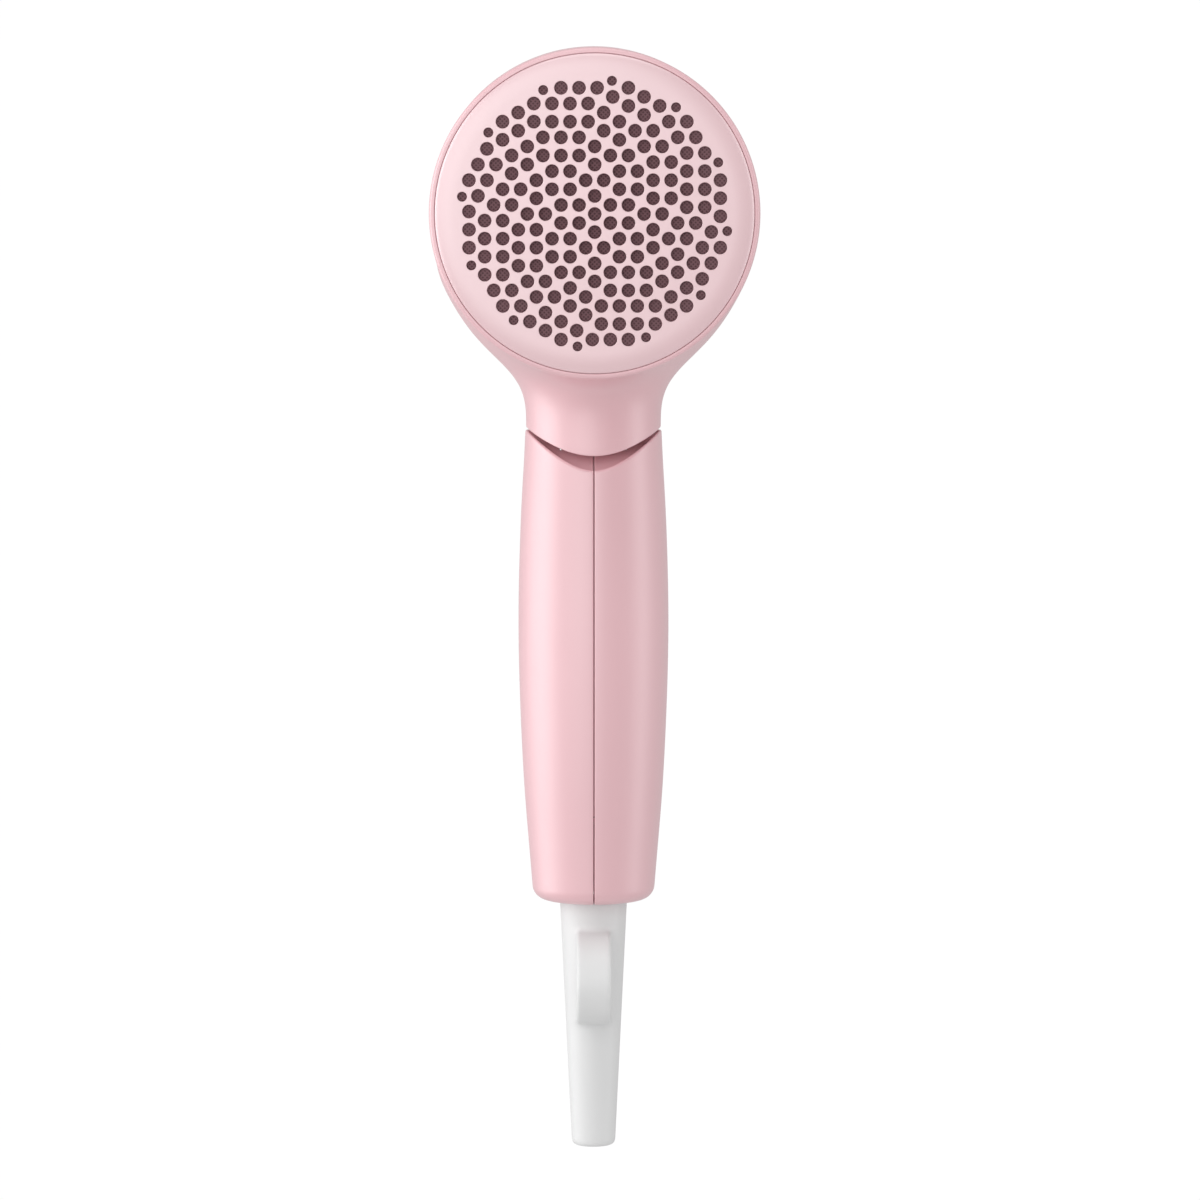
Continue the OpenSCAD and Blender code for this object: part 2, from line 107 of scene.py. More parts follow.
def shade(obj, angle=None):
    mesh = obj.data
    mesh.polygons.foreach_set("use_smooth", [True] * len(mesh.polygons))
    if angle is not None:
        mesh.set_sharp_from_angle(angle=math.radians(angle))
    mesh.update()


def grid_faces(nu, nv, close_u=False, close_v=False, start=0, flip=False):
    faces = []
    for i in range(nu if close_u else nu - 1):
        for j in range(nv if close_v else nv - 1):
            a, b = i * nv + j, ((i + 1) % nu) * nv + j
            c, d = ((i + 1) % nu) * nv + (j + 1) % nv, i * nv + (j + 1) % nv
            f = (a, b, c, d) if not flip else (d, c, b, a)
            faces.append(tuple(start + k for k in f))
    return faces


def revolve(name, profile, axis="Z", centre=(0, 0, 0), segs=128, closed=False, angle=32):
    """Turns a profile of (radius, along) about an axis through centre. A radius of 0 closes the form."""
    p = np.array(profile, float)
    t = np.arange(segs) * 2 * math.pi / segs
    r, s = p[:, 0][None, :], p[:, 1][None, :]
    c1, c2 = np.cos(t)[:, None] * r, np.sin(t)[:, None] * r
    z = np.broadcast_to(s, c1.shape)
    out = {"Z": (c1, c2, z), "Y": (c2, z, c1), "X": (z, c1, c2)}[axis]
    verts = np.stack(out, -1).reshape(-1, 3) + np.array(centre, float)
    obj = new_object(name, verts, grid_faces(segs, len(p), True, closed), False)
    bm = bmesh.new()
    bm.from_mesh(obj.data)
    bmesh.ops.remove_doubles(bm, verts=bm.verts, dist=1e-7)
    bmesh.ops.recalc_face_normals(bm, faces=bm.faces)
    bm.to_mesh(obj.data)
    bm.free()
    shade(obj, angle)
    return obj


def rounded(points, radii, steps=5):
    """A polyline whose corners are rounded; radii has one number per corner, 0 at a sharp one."""
    pts = [np.array(p, float) for p in points]
    out = [pts[0]]
    for i in range(1, len(pts) - 1):
        r = radii[i - 1] if hasattr(radii, "__len__") else radii
        a, b, c = pts[i - 1], pts[i], pts[i + 1]
        if r <= 0:
            out.append(b)
            continue
        u, v = a - b, c - b
        lu, lv = np.linalg.norm(u), np.linalg.norm(v)
        u, v = u / lu, v / lv
        half = math.acos(float(np.clip(u @ v, -1, 1))) / 2
        cut = min(r / math.tan(half), 0.49 * lu, 0.49 * lv)
        rr = cut * math.tan(half)
        centre = b + (u + v) / np.linalg.norm(u + v) * rr / math.sin(half)
        s, e = b + u * cut - centre, b + v * cut - centre
        ang = math.acos(float(np.clip(s @ e / rr / rr, -1, 1)))
        for k in range(steps + 1):
            t = k / steps
            out.append(centre + (math.sin((1 - t) * ang) * s + math.sin(t * ang) * e) / math.sin(ang))
    out.append(pts[-1])
    return out


def modifier(obj, kind, **values):
    m = obj.modifiers.new(kind.title(), kind)
    for k, v in values.items():
        setattr(m, k, v)
    return m


def apply_all(obj):
    bpy.context.view_layer.update()
    done = bpy.data.meshes.new_from_object(obj.evaluated_get(bpy.context.evaluated_depsgraph_get()))
    obj.modifiers.clear()
    obj.data = done
    return obj


def cut(obj, cutters, operation="DIFFERENCE"):
    for c in cutters:
        modifier(obj, "BOOLEAN", object=c, operation=operation, solver="EXACT")
    apply_all(obj)
    for c in cutters:
        bpy.data.objects.remove(c)
    return obj


def join(name, objs):
    verts, faces = [], []
    for o in objs:
        start = len(verts)
        verts += [np.array(v.co) / MM for v in o.data.vertices]
        faces += [tuple(start + i for i in p.vertices) for p in o.data.polygons]
        bpy.data.objects.remove(o)
    return new_object(name, verts, faces, False)


def block(name, low, high):
    x0, y0, z0 = low
    x1, y1, z1 = high
    v = [(x, y, z) for x in (x0, x1) for y in (y0, y1) for z in (z0, z1)]
    f = [(0, 1, 3, 2), (4, 6, 7, 5), (0, 4, 5, 1), (2, 3, 7, 6), (0, 2, 6, 4), (1, 5, 7, 3)]
    return new_object(name, v, f, False)


def prism(name, outline, x0, x1):
    """A shape drawn in (y, z) and pulled along X."""
    n = len(outline)
    v = [(x, p[0], p[1]) for x in (x0, x1) for p in outline]
    f = [tuple(range(n - 1, -1, -1)), tuple(range(n, 2 * n))]
    f += [(i, (i + 1) % n, n + (i + 1) % n, n + i) for i in range(n)]
    o = new_object(name, v, f, False)
    bm = bmesh.new()
    bm.from_mesh(o.data)
    bmesh.ops.recalc_face_normals(bm, faces=bm.faces)
    bm.to_mesh(o.data)
    bm.free()
    return o


# ---------------------------------------------------------------- materials
def tree(name):
    mat = bpy.data.materials.new(name)
    mat.use_nodes = True
    nt = mat.node_tree
    return mat, nt, nt.nodes["Principled BSDF"]


def add(nt, kind, inputs=(), **props):
    n = nt.nodes.new(kind)
    for k, v in props.items():
        setattr(n, k, v)
    for k, v in dict(inputs).items():
        if isinstance(v, bpy.types.NodeSocket):
            nt.links.new(v, n.inputs[k])
        else:
            n.inputs[k].default_value = v
    return n


def noise(nt, scale, detail=3.0, rough=0.5, vector=None):
    if vector is None:
        vector = add(nt, "ShaderNodeTexCoord").outputs["Object"]
    return add(nt, "ShaderNodeTexNoise", {"Vector": vector, "Scale": scale, "Detail": detail, "Roughness": rough})


def ramp(nt, fac, stops):
    n = add(nt, "ShaderNodeValToRGB", {"Fac": fac})
    while len(n.color_ramp.elements) < len(stops):
        n.color_ramp.elements.new(0.5)
    for e, (pos, col) in zip(n.color_ramp.elements, stops):
        e.position = pos
        e.color = (*col, 1) if len(col) == 3 else col
    return n


def srgb(r, g, b):
    def f(c):
        c /= 255
        return c / 12.92 if c <= 0.04045 else ((c + 0.055) / 1.055) ** 2.4

    return (f(r), f(g), f(b))


def moulded(name, base, rough=0.34, grain=900.0, bump=0.02, coat=0.25, mottle=0.03, spec=0.5, coat_rough=0.3, coat_ior=1.5):
    """Moulded plastic: a faint cloud in the colour, fine texture in the gloss and in the surface."""
    mat, nt, b = tree(name)
    dark = tuple(c * (1 - mottle) for c in base)
    cloud = noise(nt, 28.0, 4.0)
    nt.links.new(ramp(nt, cloud.outputs["Fac"], [(0.3, dark), (0.7, base)]).outputs["Color"], b.inputs["Base Color"])
    fine = noise(nt, grain, 2.0, 0.6)
    spread = add(nt, "ShaderNodeMapRange", {"Value": fine.outputs["Fac"], "To Min": rough - 0.04, "To Max": rough + 0.05})
    nt.links.new(spread.outputs["Result"], b.inputs["Roughness"])
    relief = add(nt, "ShaderNodeBump", {"Height": fine.outputs["Fac"], "Strength": bump, "Distance": 0.0002})
    nt.links.new(relief.outputs["Normal"], b.inputs["Normal"])
    b.inputs["Coat Weight"].default_value = coat
    b.inputs["Coat Roughness"].default_value = coat_rough
    b.inputs["Coat IOR"].default_value = coat_ior
    b.inputs["Specular IOR Level"].default_value = spec
    return mat


def metal(name, base, rough=0.32, scratch=240.0, stretch=(1, 14, 1)):
    mat, nt, b = tree(name)
    coord = add(nt, "ShaderNodeTexCoord")
    lines = add(nt, "ShaderNodeMapping", {"Vector": coord.outputs["Object"], "Scale": stretch})
    fine = noise(nt, scratch, 4.0, 0.6, lines.outputs["Vector"])
    dark = tuple(c * 0.8 for c in base)
    nt.links.new(ramp(nt, fine.outputs["Fac"], [(0.35, dark), (0.65, base)]).outputs["Color"], b.inputs["Base Color"])
    spread = add(nt, "ShaderNodeMapRange", {"Value": fine.outputs["Fac"], "To Min": rough - 0.08, "To Max": rough + 0.1})
    nt.links.new(spread.outputs["Result"], b.inputs["Roughness"])
    relief = add(nt, "ShaderNodeBump", {"Height": fine.outputs["Fac"], "Strength": 0.08, "Distance": 0.0001})
    nt.links.new(relief.outputs["Normal"], b.inputs["Normal"])
    b.inputs["Metallic"].default_value = 1.0
    return mat


PEARL = {"rough": 0.44, "coat": 1.0, "coat_rough": 0.42, "coat_ior": 2.0, "spec": 1.0}
MATS = {
    "head_pink": moulded("head_pink", srgb(227, 175, 182), **PEARL),
    # The cap's pink is the head's pink made a little paler, as a painted highlight for part of the brightness the cap
    # catches.
    "cap_pink": moulded("cap_pink", srgb(227, 181, 187), **{**PEARL, "coat_ior": 2.9, "rough": 0.4}),
    "handle_pink": moulded("handle_pink", srgb(227, 175, 182), **PEARL),
    "tail_white": moulded("tail_white", srgb(222, 222, 222), rough=0.45, grain=1400, coat=0.1),
    "white_plastic": moulded("white_plastic", srgb(238, 237, 236), rough=0.35),
    "collar_grey": moulded("collar_grey", srgb(120, 118, 120), rough=0.42, coat=0.1),
    "grille_dark": moulded("grille_dark", srgb(48, 46, 48), rough=0.45, coat=0.1),
    "ivory_plastic": moulded("ivory_plastic", srgb(226, 220, 204), rough=0.45, coat=0.05),
    "black_plastic": moulded("black_plastic", srgb(34, 34, 36), rough=0.4, coat=0.1),
    "motor_steel": metal("motor_steel", (0.56, 0.56, 0.58)),
    "shaft_steel": metal("shaft_steel", (0.64, 0.64, 0.66), 0.25),
    "sensor_metal": metal("sensor_metal", (0.72, 0.72, 0.74), 0.3),
    "heater_wire": metal("heater_wire", (0.42, 0.34, 0.3), 0.4),
    "brass": metal("brass", (0.75, 0.56, 0.28), 0.3),
    "lead_sleeve": moulded("lead_sleeve", srgb(176, 44, 44), rough=0.5, coat=0.0),
    "board": moulded("board", srgb(40, 104, 58), rough=0.35, grain=300, mottle=0.2),
    "capacitor_film": moulded("capacitor_film", srgb(56, 84, 150), rough=0.25, coat=0.5),
}


def woven_dark(name):
    """The dust filter behind the air holes: a fine plain weave of threads."""
    mat, nt, b = tree(name)
    coord = add(nt, "ShaderNodeTexCoord").outputs["Object"]
    turn = add(nt, "ShaderNodeMapping", {"Vector": coord, "Rotation": (0, math.radians(45), 0)})
    waves = []
    for axis in ("X", "Z"):
        w = add(nt, "ShaderNodeTexWave", {"Vector": turn.outputs["Vector"], "Scale": 420.0}, wave_type="BANDS", bands_direction=axis)
        waves.append(w.outputs["Fac"])
    both = add(nt, "ShaderNodeMath", {0: waves[0], 1: waves[1]}, operation="MAXIMUM")
    col = ramp(nt, both.outputs["Value"], [(0.25, srgb(84, 56, 61)), (0.8, srgb(124, 90, 96))])
    nt.links.new(col.outputs["Color"], b.inputs["Base Color"])
    relief = add(nt, "ShaderNodeBump", {"Height": both.outputs["Value"], "Strength": 0.4, "Distance": 0.0002})
    nt.links.new(relief.outputs["Normal"], b.inputs["Normal"])
    b.inputs["Roughness"].default_value = 0.75
    return mat


def flaked(name):
    """Mica board: pale brown with flakes that catch the light."""
    mat, nt, b = tree(name)
    coord = add(nt, "ShaderNodeTexCoord").outputs["Object"]
    cells = add(nt, "ShaderNodeTexVoronoi", {"Vector": coord, "Scale": 700.0})
    col = ramp(nt, cells.outputs["Distance"], [(0.1, srgb(196, 176, 140)), (0.8, srgb(148, 126, 92))])
    nt.links.new(col.outputs["Color"], b.inputs["Base Color"])
    spread = add(nt, "ShaderNodeMapRange", {"Value": cells.outputs["Distance"], "To Min": 0.25, "To Max": 0.6})
    nt.links.new(spread.outputs["Result"], b.inputs["Roughness"])
    return mat


MATS["filter_dark"] = woven_dark("filter_dark")
MATS["mica"] = flaked("mica")


def paint(obj, slot):
    obj.data.materials.clear()
    obj.data.materials.append(MATS[slot])
    return obj


def piece(obj, body, slot, *replaced):
    paint(obj, slot)
    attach(obj, body)
    if replaced:
        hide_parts(*replaced)
    return obj


# ---------------------------------------------------------------- surfaces given by a distance function
def smooth_min(a, b, k):
    h = np.maximum(k - np.abs(a - b), 0) / k
    return np.minimum(a, b) - h * h * k / 4


def smooth_max(a, b, k):
    return -smooth_min(-a, -b, k)


def rounded_box(p, centre, half, r):
    q = np.abs(p - np.array(centre, float)) - np.array(half, float) + r
    return np.linalg.norm(np.maximum(q, 0), axis=-1) + np.minimum(q.max(-1), 0) - r


def gradient(field, p, h=0.02):
    steps = np.eye(3) * h
    return np.stack([(field(p + s) - field(p - s)) / (2 * h) for s in steps], -1)


def settle(field, p, rounds=4):
    """Moves points onto the field's zero surface."""
    for _ in range(rounds):
        g = gradient(field, p)
        move = field(p) / np.maximum((g**2).sum(-1), 0.05)
        p = p - g * np.clip(move, -0.5, 0.5)[:, None]
    return p


def surface_of(field, low, high, step, relax=2):
    """The zero surface of a distance function, negative inside, as one vertex per crossed cell and quads."""
    axes = [np.arange(a, b + step, step) for a, b in zip(low, high)]
    inside = field(np.stack(np.meshgrid(*axes, indexing="ij"), -1)) < 0
    n = inside.shape
    total = np.zeros([k - 1 for k in n], np.int8)
    for i, j, k in np.ndindex(2, 2, 2):
        total += inside[i : n[0] - 1 + i, j : n[1] - 1 + j, k : n[2] - 1 + k]
    active = (total > 0) & (total < 8)
    number = np.full(active.shape, -1)
    number[active] = np.arange(active.sum())
    cells = np.argwhere(active)
    verts = np.stack([axes[d][cells[:, d]] for d in range(3)], -1) + step / 2
    faces = []
    for axis in range(3):
        a, idx = np.moveaxis(inside, axis, 0), np.moveaxis(number, axis, 0)
        i, j, k = (np.argwhere((a[:-1] != a[1:])[:, 1:-1, 1:-1]) + [0, 1, 1]).T
        quad = np.stack([idx[i, j - 1, k - 1], idx[i, j, k - 1], idx[i, j, k], idx[i, j - 1, k]], -1)
        backward = a[i, j, k] if axis == 1 else ~a[i, j, k]
        quad[backward] = quad[backward][:, ::-1]
        faces.append(quad)
    faces = np.concatenate(faces)
    verts = settle(field, verts)
    for _ in range(relax):
        total, count = np.zeros_like(verts), np.zeros(len(verts))
        for k in range(4):
            a, b = faces[:, k], faces[:, (k + 1) % 4]
            np.add.at(total, a, verts[b])
            np.add.at(total, b, verts[a])
            np.add.at(count, a, 1)
            np.add.at(count, b, 1)
        verts = settle(field, total / np.maximum(count, 1)[:, None], 3)
    return verts, faces


def clipped(verts, faces, planes):
    """Cuts a surface off beyond each plane, which is a point and the direction to throw away."""
    bm = bmesh.new()
    made = [bm.verts.new(v) for v in verts]
    for f in faces:
        bm.faces.new([made[k] for k in f])
    for point, normal in planes:
        every = bm.verts[:] + bm.edges[:] + bm.faces[:]
        bmesh.ops.bisect_plane(bm, geom=every, plane_co=point, plane_no=normal, clear_outer=True, dist=1e-6)
    bm.verts.index_update()
    out = np.array([v.co for v in bm.verts]), [tuple(v.index for v in f.verts) for f in bm.faces]
    bm.free()
    return out


class Skin:
    """Vertices and faces in the making. Rows of equally many vertices are bridged with quads."""

    def __init__(self, verts=(), faces=()):
        self.verts = [tuple(v) for v in verts]
        self.faces = [tuple(int(k) for k in f) for f in faces]

    def row(self, points):
        start = len(self.verts)
        self.verts += [tuple(p) for p in points]
        return list(range(start, len(self.verts)))

    def bridge(self, rows):
        for a, b in zip(rows, rows[1:]):
            n = len(a)
            self.faces += [(int(a[k]), int(a[(k + 1) % n]), int(b[(k + 1) % n]), int(b[k])) for k in range(n)]

    def finish(self, name, angle=None, merge=1e-3):
        obj = new_object(name, self.verts, self.faces, False)
        bm = bmesh.new()
        bm.from_mesh(obj.data)
        bmesh.ops.remove_doubles(bm, verts=bm.verts, dist=merge * MM)
        loose = [v for v in bm.verts if not v.link_faces]
        bmesh.ops.delete(bm, geom=loose, context="VERTS")
        bmesh.ops.recalc_face_normals(bm, faces=bm.faces)
        bm.to_mesh(obj.data)
        bm.free()
        shade(obj, angle)
        return obj


def quarter(steps):
    return [math.pi / 2 * k / steps for k in range(1, steps + 1)]


# ---------------------------------------------------------------- head housing
head_low, head_high = mm_box("head_housing")
BARREL_R, REAR_RIM, BARREL_FRONT = head_high[0], head_low[1], head_high[1]
HEAD_WALL = 2.2
TAPER_FROM = -8.0
TAPER_DROP = BARREL_R - 27.1
NOZZLE_HOLE = 23.8
NECK_TOP = 64.0
ARCH_R = 25.7
ARCH_CENTRE = 29.9
FRONT_CUT = 53.9
NECK_FLOOR = 59.0
KNUCKLE_HALF = 8.1
FLARE_DEPTH = [0, 10, 17.4, 22.4, 27.3, 32.3, 37.5, 42.6, 47.6, 54, 66]
FLARE_RADIUS = [37.8, 39.0, 37.9, 35.6, 32.6, 28.7, 23.7, 19.3, 17.2, 16.75, 16.8]
flare = spline(FLARE_DEPTH, FLARE_RADIUS)


def barrel_radius(y):
    t = np.clip((y - TAPER_FROM) / (BARREL_FRONT - TAPER_FROM), 0, None)
    return BARREL_R - TAPER_DROP * t**1.9


def flare_radius(depth):
    """Radius about Z at a depth below the barrel's axis; above the axis it shrinks away inside the barrel."""
    return np.where(depth < 0, FLARE_RADIUS[0] + depth, flare(depth))


def head_field(p):
    x, y, z = np.moveaxis(p, -1, 0)
    depth = AXIS_Z - z
    slope = (barrel_radius(y + 0.1) - barrel_radius(y - 0.1)) / 0.2
    barrel = (np.hypot(x, depth) - barrel_radius(y)) / np.sqrt(1 + slope**2)
    slope = (flare_radius(depth + 0.1) - flare_radius(depth - 0.1)) / 0.2
    neck = (np.hypot(x, y) - flare_radius(depth)) / np.sqrt(1 + slope**2)
    return smooth_min(barrel, neck, 2.2 + 3.3 * smoothstep(18, 40, depth))


def neck_edge(y):
    """Height of the neck's lower edge: an arch, cut straight across at the front."""
    arch = ARCH_CENTRE + np.sqrt(ARCH_R**2 - y**2)
    return np.where(y > 0, smooth_max(arch, FRONT_CUT, 0.6), arch)


def head_shell():
    step = 0.9
    low = (-BARREL_R - 2, REAR_RIM + 0.3, NECK_TOP - 2)
    high = (BARREL_R + 2, BARREL_FRONT + 1, AXIS_Z + BARREL_R + 2)
    verts, quads = surface_of(head_field, low, high, step)
    rear_cut, front_cut = REAR_RIM + 2.5, BARREL_FRONT - 2
    planes = [((0, rear_cut, 0), (0, -1, 0)), ((0, front_cut, 0), (0, 1, 0)), ((0, 0, NECK_TOP), (0, 0, -1))]
    verts, faces = clipped(verts, quads, planes)
    normal = gradient(head_field, verts)
    normal /= np.linalg.norm(normal, axis=-1, keepdims=True)
    n = len(verts)
    skin = Skin(verts, faces)
    skin.row(verts - HEAD_WALL * normal)
    skin.faces += [tuple(k + n for k in reversed(f)) for f in faces]

    def ring(on_plane, angle):
        idx = np.nonzero(on_plane)[0]
        idx = idx[np.argsort(angle[idx])]
        return idx, angle[idx]

    about_y = np.arctan2(verts[:, 2] - AXIS_Z, verts[:, 0])
    about_z = np.arctan2(verts[:, 1], verts[:, 0])

    def turned_row(turn, r, y):
        return skin.row(np.stack([r * np.cos(turn), np.full(len(turn), y), AXIS_Z + r * np.sin(turn)], -1))

    # Rear rim: rounded outside, then the seat that the cap drops into
    idx, turn = ring(np.abs(verts[:, 1] - rear_cut) < 1e-4, about_y)
    lip = BARREL_R - 0.9
    profile = [(BARREL_R, REAR_RIM + 1.3)]
    profile += [(lip + 0.9 * math.cos(a), REAR_RIM + 1.3 - 1.3 * math.sin(a)) for a in quarter(6)]
    profile += [(38.78, REAR_RIM), (38.67, REAR_RIM + 0.1), (38.65, REAR_RIM + 1.6), (37.8, REAR_RIM + 1.6)]
    skin.bridge([idx] + [turned_row(turn, r, y) for r, y in profile] + [idx + n])

    # Front end: rounded into a flat ring with the nozzle's hole
    idx, turn = ring(np.abs(verts[:, 1] - front_cut) < 1e-4, about_y)
    start = barrel_radius(front_cut)
    profile = [(start - 1.9 * (1 - math.cos(a)), front_cut + 2 * math.sin(a)) for a in quarter(7)]
    profile += [(NOZZLE_HOLE + 0.3, BARREL_FRONT), (NOZZLE_HOLE, BARREL_FRONT - 0.3), (NOZZLE_HOLE, front_cut)]
    skin.bridge([idx] + [turned_row(turn, r, y) for r, y in profile] + [idx + n])

    # Neck: down to the arched edge, under it to the knuckle, and up inside
    idx, turn = ring(np.abs(verts[:, 2] - NECK_TOP) < 1e-4, about_z)
    c, s = np.cos(turn), np.sin(turn)
    fillet = 0.55
    edge_r = float(flare_radius(np.array(58.0)))
    edge = neck_edge(edge_r * s)
    inner_r = KNUCKLE_HALF / np.maximum(np.abs(c), np.abs(s))

    def neck_row(r, z):
        return np.stack([r * c, r * s, np.broadcast_to(z, c.shape)], -1)

    rows = []
    for t in np.linspace(0, 1, 15)[1:]:
        z = NECK_TOP + (edge + fillet - NECK_TOP) * t
        rows.append(skin.row(neck_row(flare_radius(AXIS_Z - z), z)))
    a = neck_row(flare_radius(AXIS_Z - edge - fillet), edge + fillet)
    e = neck_row(edge_r, edge)
    b = neck_row(edge_r - fillet, neck_edge((edge_r - fillet) * s))
    for t in (0.2, 0.4, 0.6, 0.8, 1.0):
        rows.append(skin.row((1 - t) ** 2 * a + 2 * t * (1 - t) * e + t * t * b))
    for t in (0.25, 0.5, 0.75, 1.0):
        r = edge_r - fillet + (inner_r - edge_r + fillet) * t
        rows.append(skin.row(neck_row(r, neck_edge(r * s))))
    rows.append(skin.row(neck_row(inner_r, NECK_FLOOR)))
    rows.append(skin.row(neck_row(edge_r - HEAD_WALL, NECK_FLOOR)))
    skin.bridge([idx] + rows + [idx + n])
    return skin.finish("head_shell", 38)


piece(head_shell(), "head", "head_pink", "head_housing")


# ---------------------------------------------------------------- perforated rear cap
cap_low, cap_high = mm_box("rear_cap")
CAP_FACE, CAP_R, CAP_T = cap_low[1], cap_high[0], 1.8
CAP_FLAT_R = 33.7
CAP_SAG = 1.0
CAP_EDGE_SAG = 1.3
HOLE_PITCH = 4.345
HOLE_R, SMALL_HOLE_R = 1.635, 1.185
SMALL_RING, SMALL_TURN = 7.41 * HOLE_PITCH, 22.6
HOLE_EDGE = 0.15
# Steps at -30, 0, 30 and 60 degrees that lead from the centre to one hole of each ring of twelve
RING_STEPS = ["0110", "1110", "1111", "1210", "1211", "0221", "2211", "1221", "0231", "2311", "1321", "0331"]
RING_STEPS += ["3311", "2321", "1331"]


def cap_holes():
    """Centres and radii of the air holes, with x to the right and z up from the cap's centre."""
    holes = [(0.0, 0.0, HOLE_R)]
    rings = [(HOLE_PITCH, 30, 6, HOLE_R)]
    for steps in RING_STEPS:
        angles = np.radians([-30, 0, 30, 60])
        count = np.array([int(k) for k in steps])
        x, z = HOLE_PITCH * (count @ np.cos(angles)), HOLE_PITCH * (count @ np.sin(angles))
        rings.append((math.hypot(x, z), math.degrees(math.atan2(z, x)), 12, HOLE_R))
    rings.append((SMALL_RING, SMALL_TURN, 12, SMALL_HOLE_R))
    for r, first, count, size in rings:
        for k in range(count):
            a = math.radians(first + 360 / count * k)
            holes.append((r * math.cos(a), r * math.sin(a), size))
    return holes


def cap_plate():
    """The domed plate is triangulated round its holes; normals come from the dome, so that it shades smoothly."""
    holes = cap_holes()
    around, per_hole = 180, 24
    turn = np.arange(around) * 2 * math.pi / around
    hole_turn = np.arange(per_hole) * 2 * math.pi / per_hole
    flat = [(CAP_FLAT_R * math.cos(a), CAP_FLAT_R * math.sin(a)) for a in turn]
    edges = [(k, (k + 1) % around) for k in range(around)]
    hole_edge = [HOLE_EDGE if r == HOLE_R else 0.7 * HOLE_EDGE for _, _, r in holes]
    for (x, z, r), e in zip(holes, hole_edge):
        start = len(flat)
        flat += [(x + (r + e) * math.cos(a), z + (r + e) * math.sin(a)) for a in hole_turn]
        edges += [(start + k, start + (k + 1) % per_hole) for k in range(per_hole)]
    out = delaunay_2d_cdt([Vector(p) for p in flat], edges, [], 1, 1e-7)
    if len(out[0]) != len(flat):
        raise ValueError("two air holes touch")
    order = [o[0] for o in out[3]]
    xy = np.array(flat)
    centres, reach = np.array(holes)[:, :2], 0.985 * (np.array(holes)[:, 2] + np.array(hole_edge))
    faces = []
    for f in out[2]:
        f = [order[k] for k in f]
        gap = np.linalg.norm(centres - xy[f].mean(0), axis=1) - reach
        if gap.min() > 0:
            faces.append(tuple(f))

    def sag(r):
        return CAP_SAG * (r / CAP_FLAT_R) ** 2

    def dome_normal(x, z):
        slope = 2 * CAP_SAG / CAP_FLAT_R**2
        v = np.stack([slope * x, -np.ones_like(x), slope * z], -1)
        return v / np.linalg.norm(v, axis=-1, keepdims=True)

    radius = np.linalg.norm(xy, axis=1)
    face = np.stack([xy[:, 0], CAP_FACE + sag(radius), xy[:, 1]], -1)
    skin = Skin(face, faces)
    normals = [dome_normal(xy[:, 0], xy[:, 1])]
    back = face.copy()
    back[:, 1] = CAP_FACE + CAP_T + 0.02
    for h, (x, z, r) in enumerate(holes):
        s = around + h * per_hole
        back[s : s + per_hole, 0] = x + r * np.cos(hole_turn)
        back[s : s + per_hole, 2] = z + r * np.sin(hole_turn)
    first_back = skin.row(back)[0]
    normals.append(np.zeros_like(back))
    skin.faces += [tuple(first_back + k for k in reversed(f)) for f in faces]

    for h, ((x, z, r), e) in enumerate(zip(holes, hole_edge)):
        start = around + h * per_hole
        c, s = np.cos(hole_turn), np.sin(hole_turn)
        inward = np.stack([-c, np.zeros(per_hole), -s], -1)
        rows = [list(range(start, start + per_hole))]
        for a in quarter(3):
            rr = r + e * (1 - math.sin(a))
            px, pz = x + rr * c, z + rr * s
            y = CAP_FACE + sag(np.hypot(px, pz)) + e * (1 - math.cos(a))
            rows.append(skin.row(np.stack([px, y, pz], -1)))
            v = math.cos(a) * dome_normal(px, pz) + math.sin(a) * inward
            normals.append(v / np.linalg.norm(v, axis=-1, keepdims=True))
        rows.append(list(range(first_back + start, first_back + start + per_hole)))
        skin.bridge(rows)

    def rim_row(r, y, slope=None):
        normals.append(np.zeros((around, 3)))
        if slope is not None:
            dr, dy = slope
            size = math.hypot(dr, dy)
            normals[-1] = np.stack([dy * np.cos(turn), np.full(around, -dr), dy * np.sin(turn)], -1) / size
        return skin.row(np.stack([r * np.cos(turn), np.full(around, y), r * np.sin(turn)], -1))

    span = CAP_R - CAP_FLAT_R
    rows = [list(range(around))]
    tilt = 2 * CAP_SAG / CAP_FLAT_R
    for a in quarter(14):
        y = CAP_FACE + CAP_SAG + tilt * span * math.sin(a) + CAP_EDGE_SAG * (1 - math.cos(a))
        slope = span * math.cos(a), tilt * span * math.cos(a) + CAP_EDGE_SAG * math.sin(a)
        rows.append(rim_row(CAP_FLAT_R + span * math.sin(a), y, slope))
    seat = REAR_RIM + 1.55
    inner = [(CAP_R, seat), (37.6, seat), (37.6, seat + 3.4), (36.5, seat + 3.4), (36.5, seat - 1.6)]
    rows += [rim_row(r, y) for r, y in inner + [(34.6, CAP_FACE + CAP_T + 0.02)]]
    rows.append(list(range(first_back, first_back + around)))
    skin.bridge(rows)

    normals = np.concatenate(normals)
    verts = np.array(skin.verts)
    verts[:, 2] += AXIS_Z
    obj = new_object("cap_plate", verts, skin.faces, False)
    bm = bmesh.new()
    bm.from_mesh(obj.data)
    bmesh.ops.recalc_face_normals(bm, faces=bm.faces)
    bm.to_mesh(obj.data)
    bm.free()
    shade(obj)
    obj.data.normals_split_custom_set_from_vertices([tuple(v) for v in normals])
    return obj


piece(cap_plate(), "head", "cap_pink", "rear_cap")


# ---------------------------------------------------------------- dust filter behind the holes
filter_low, filter_high = mm_box("inlet_filter")
filter_r = filter_high[0]
disc = [(0, filter_low[1]), (filter_r, filter_low[1]), (filter_r, filter_high[1]), (0, filter_high[1])]
piece(revolve("filter_disc", disc, "Y", (0, 0, AXIS_Z), 96, False, 30), "head", "filter_dark", "inlet_filter")


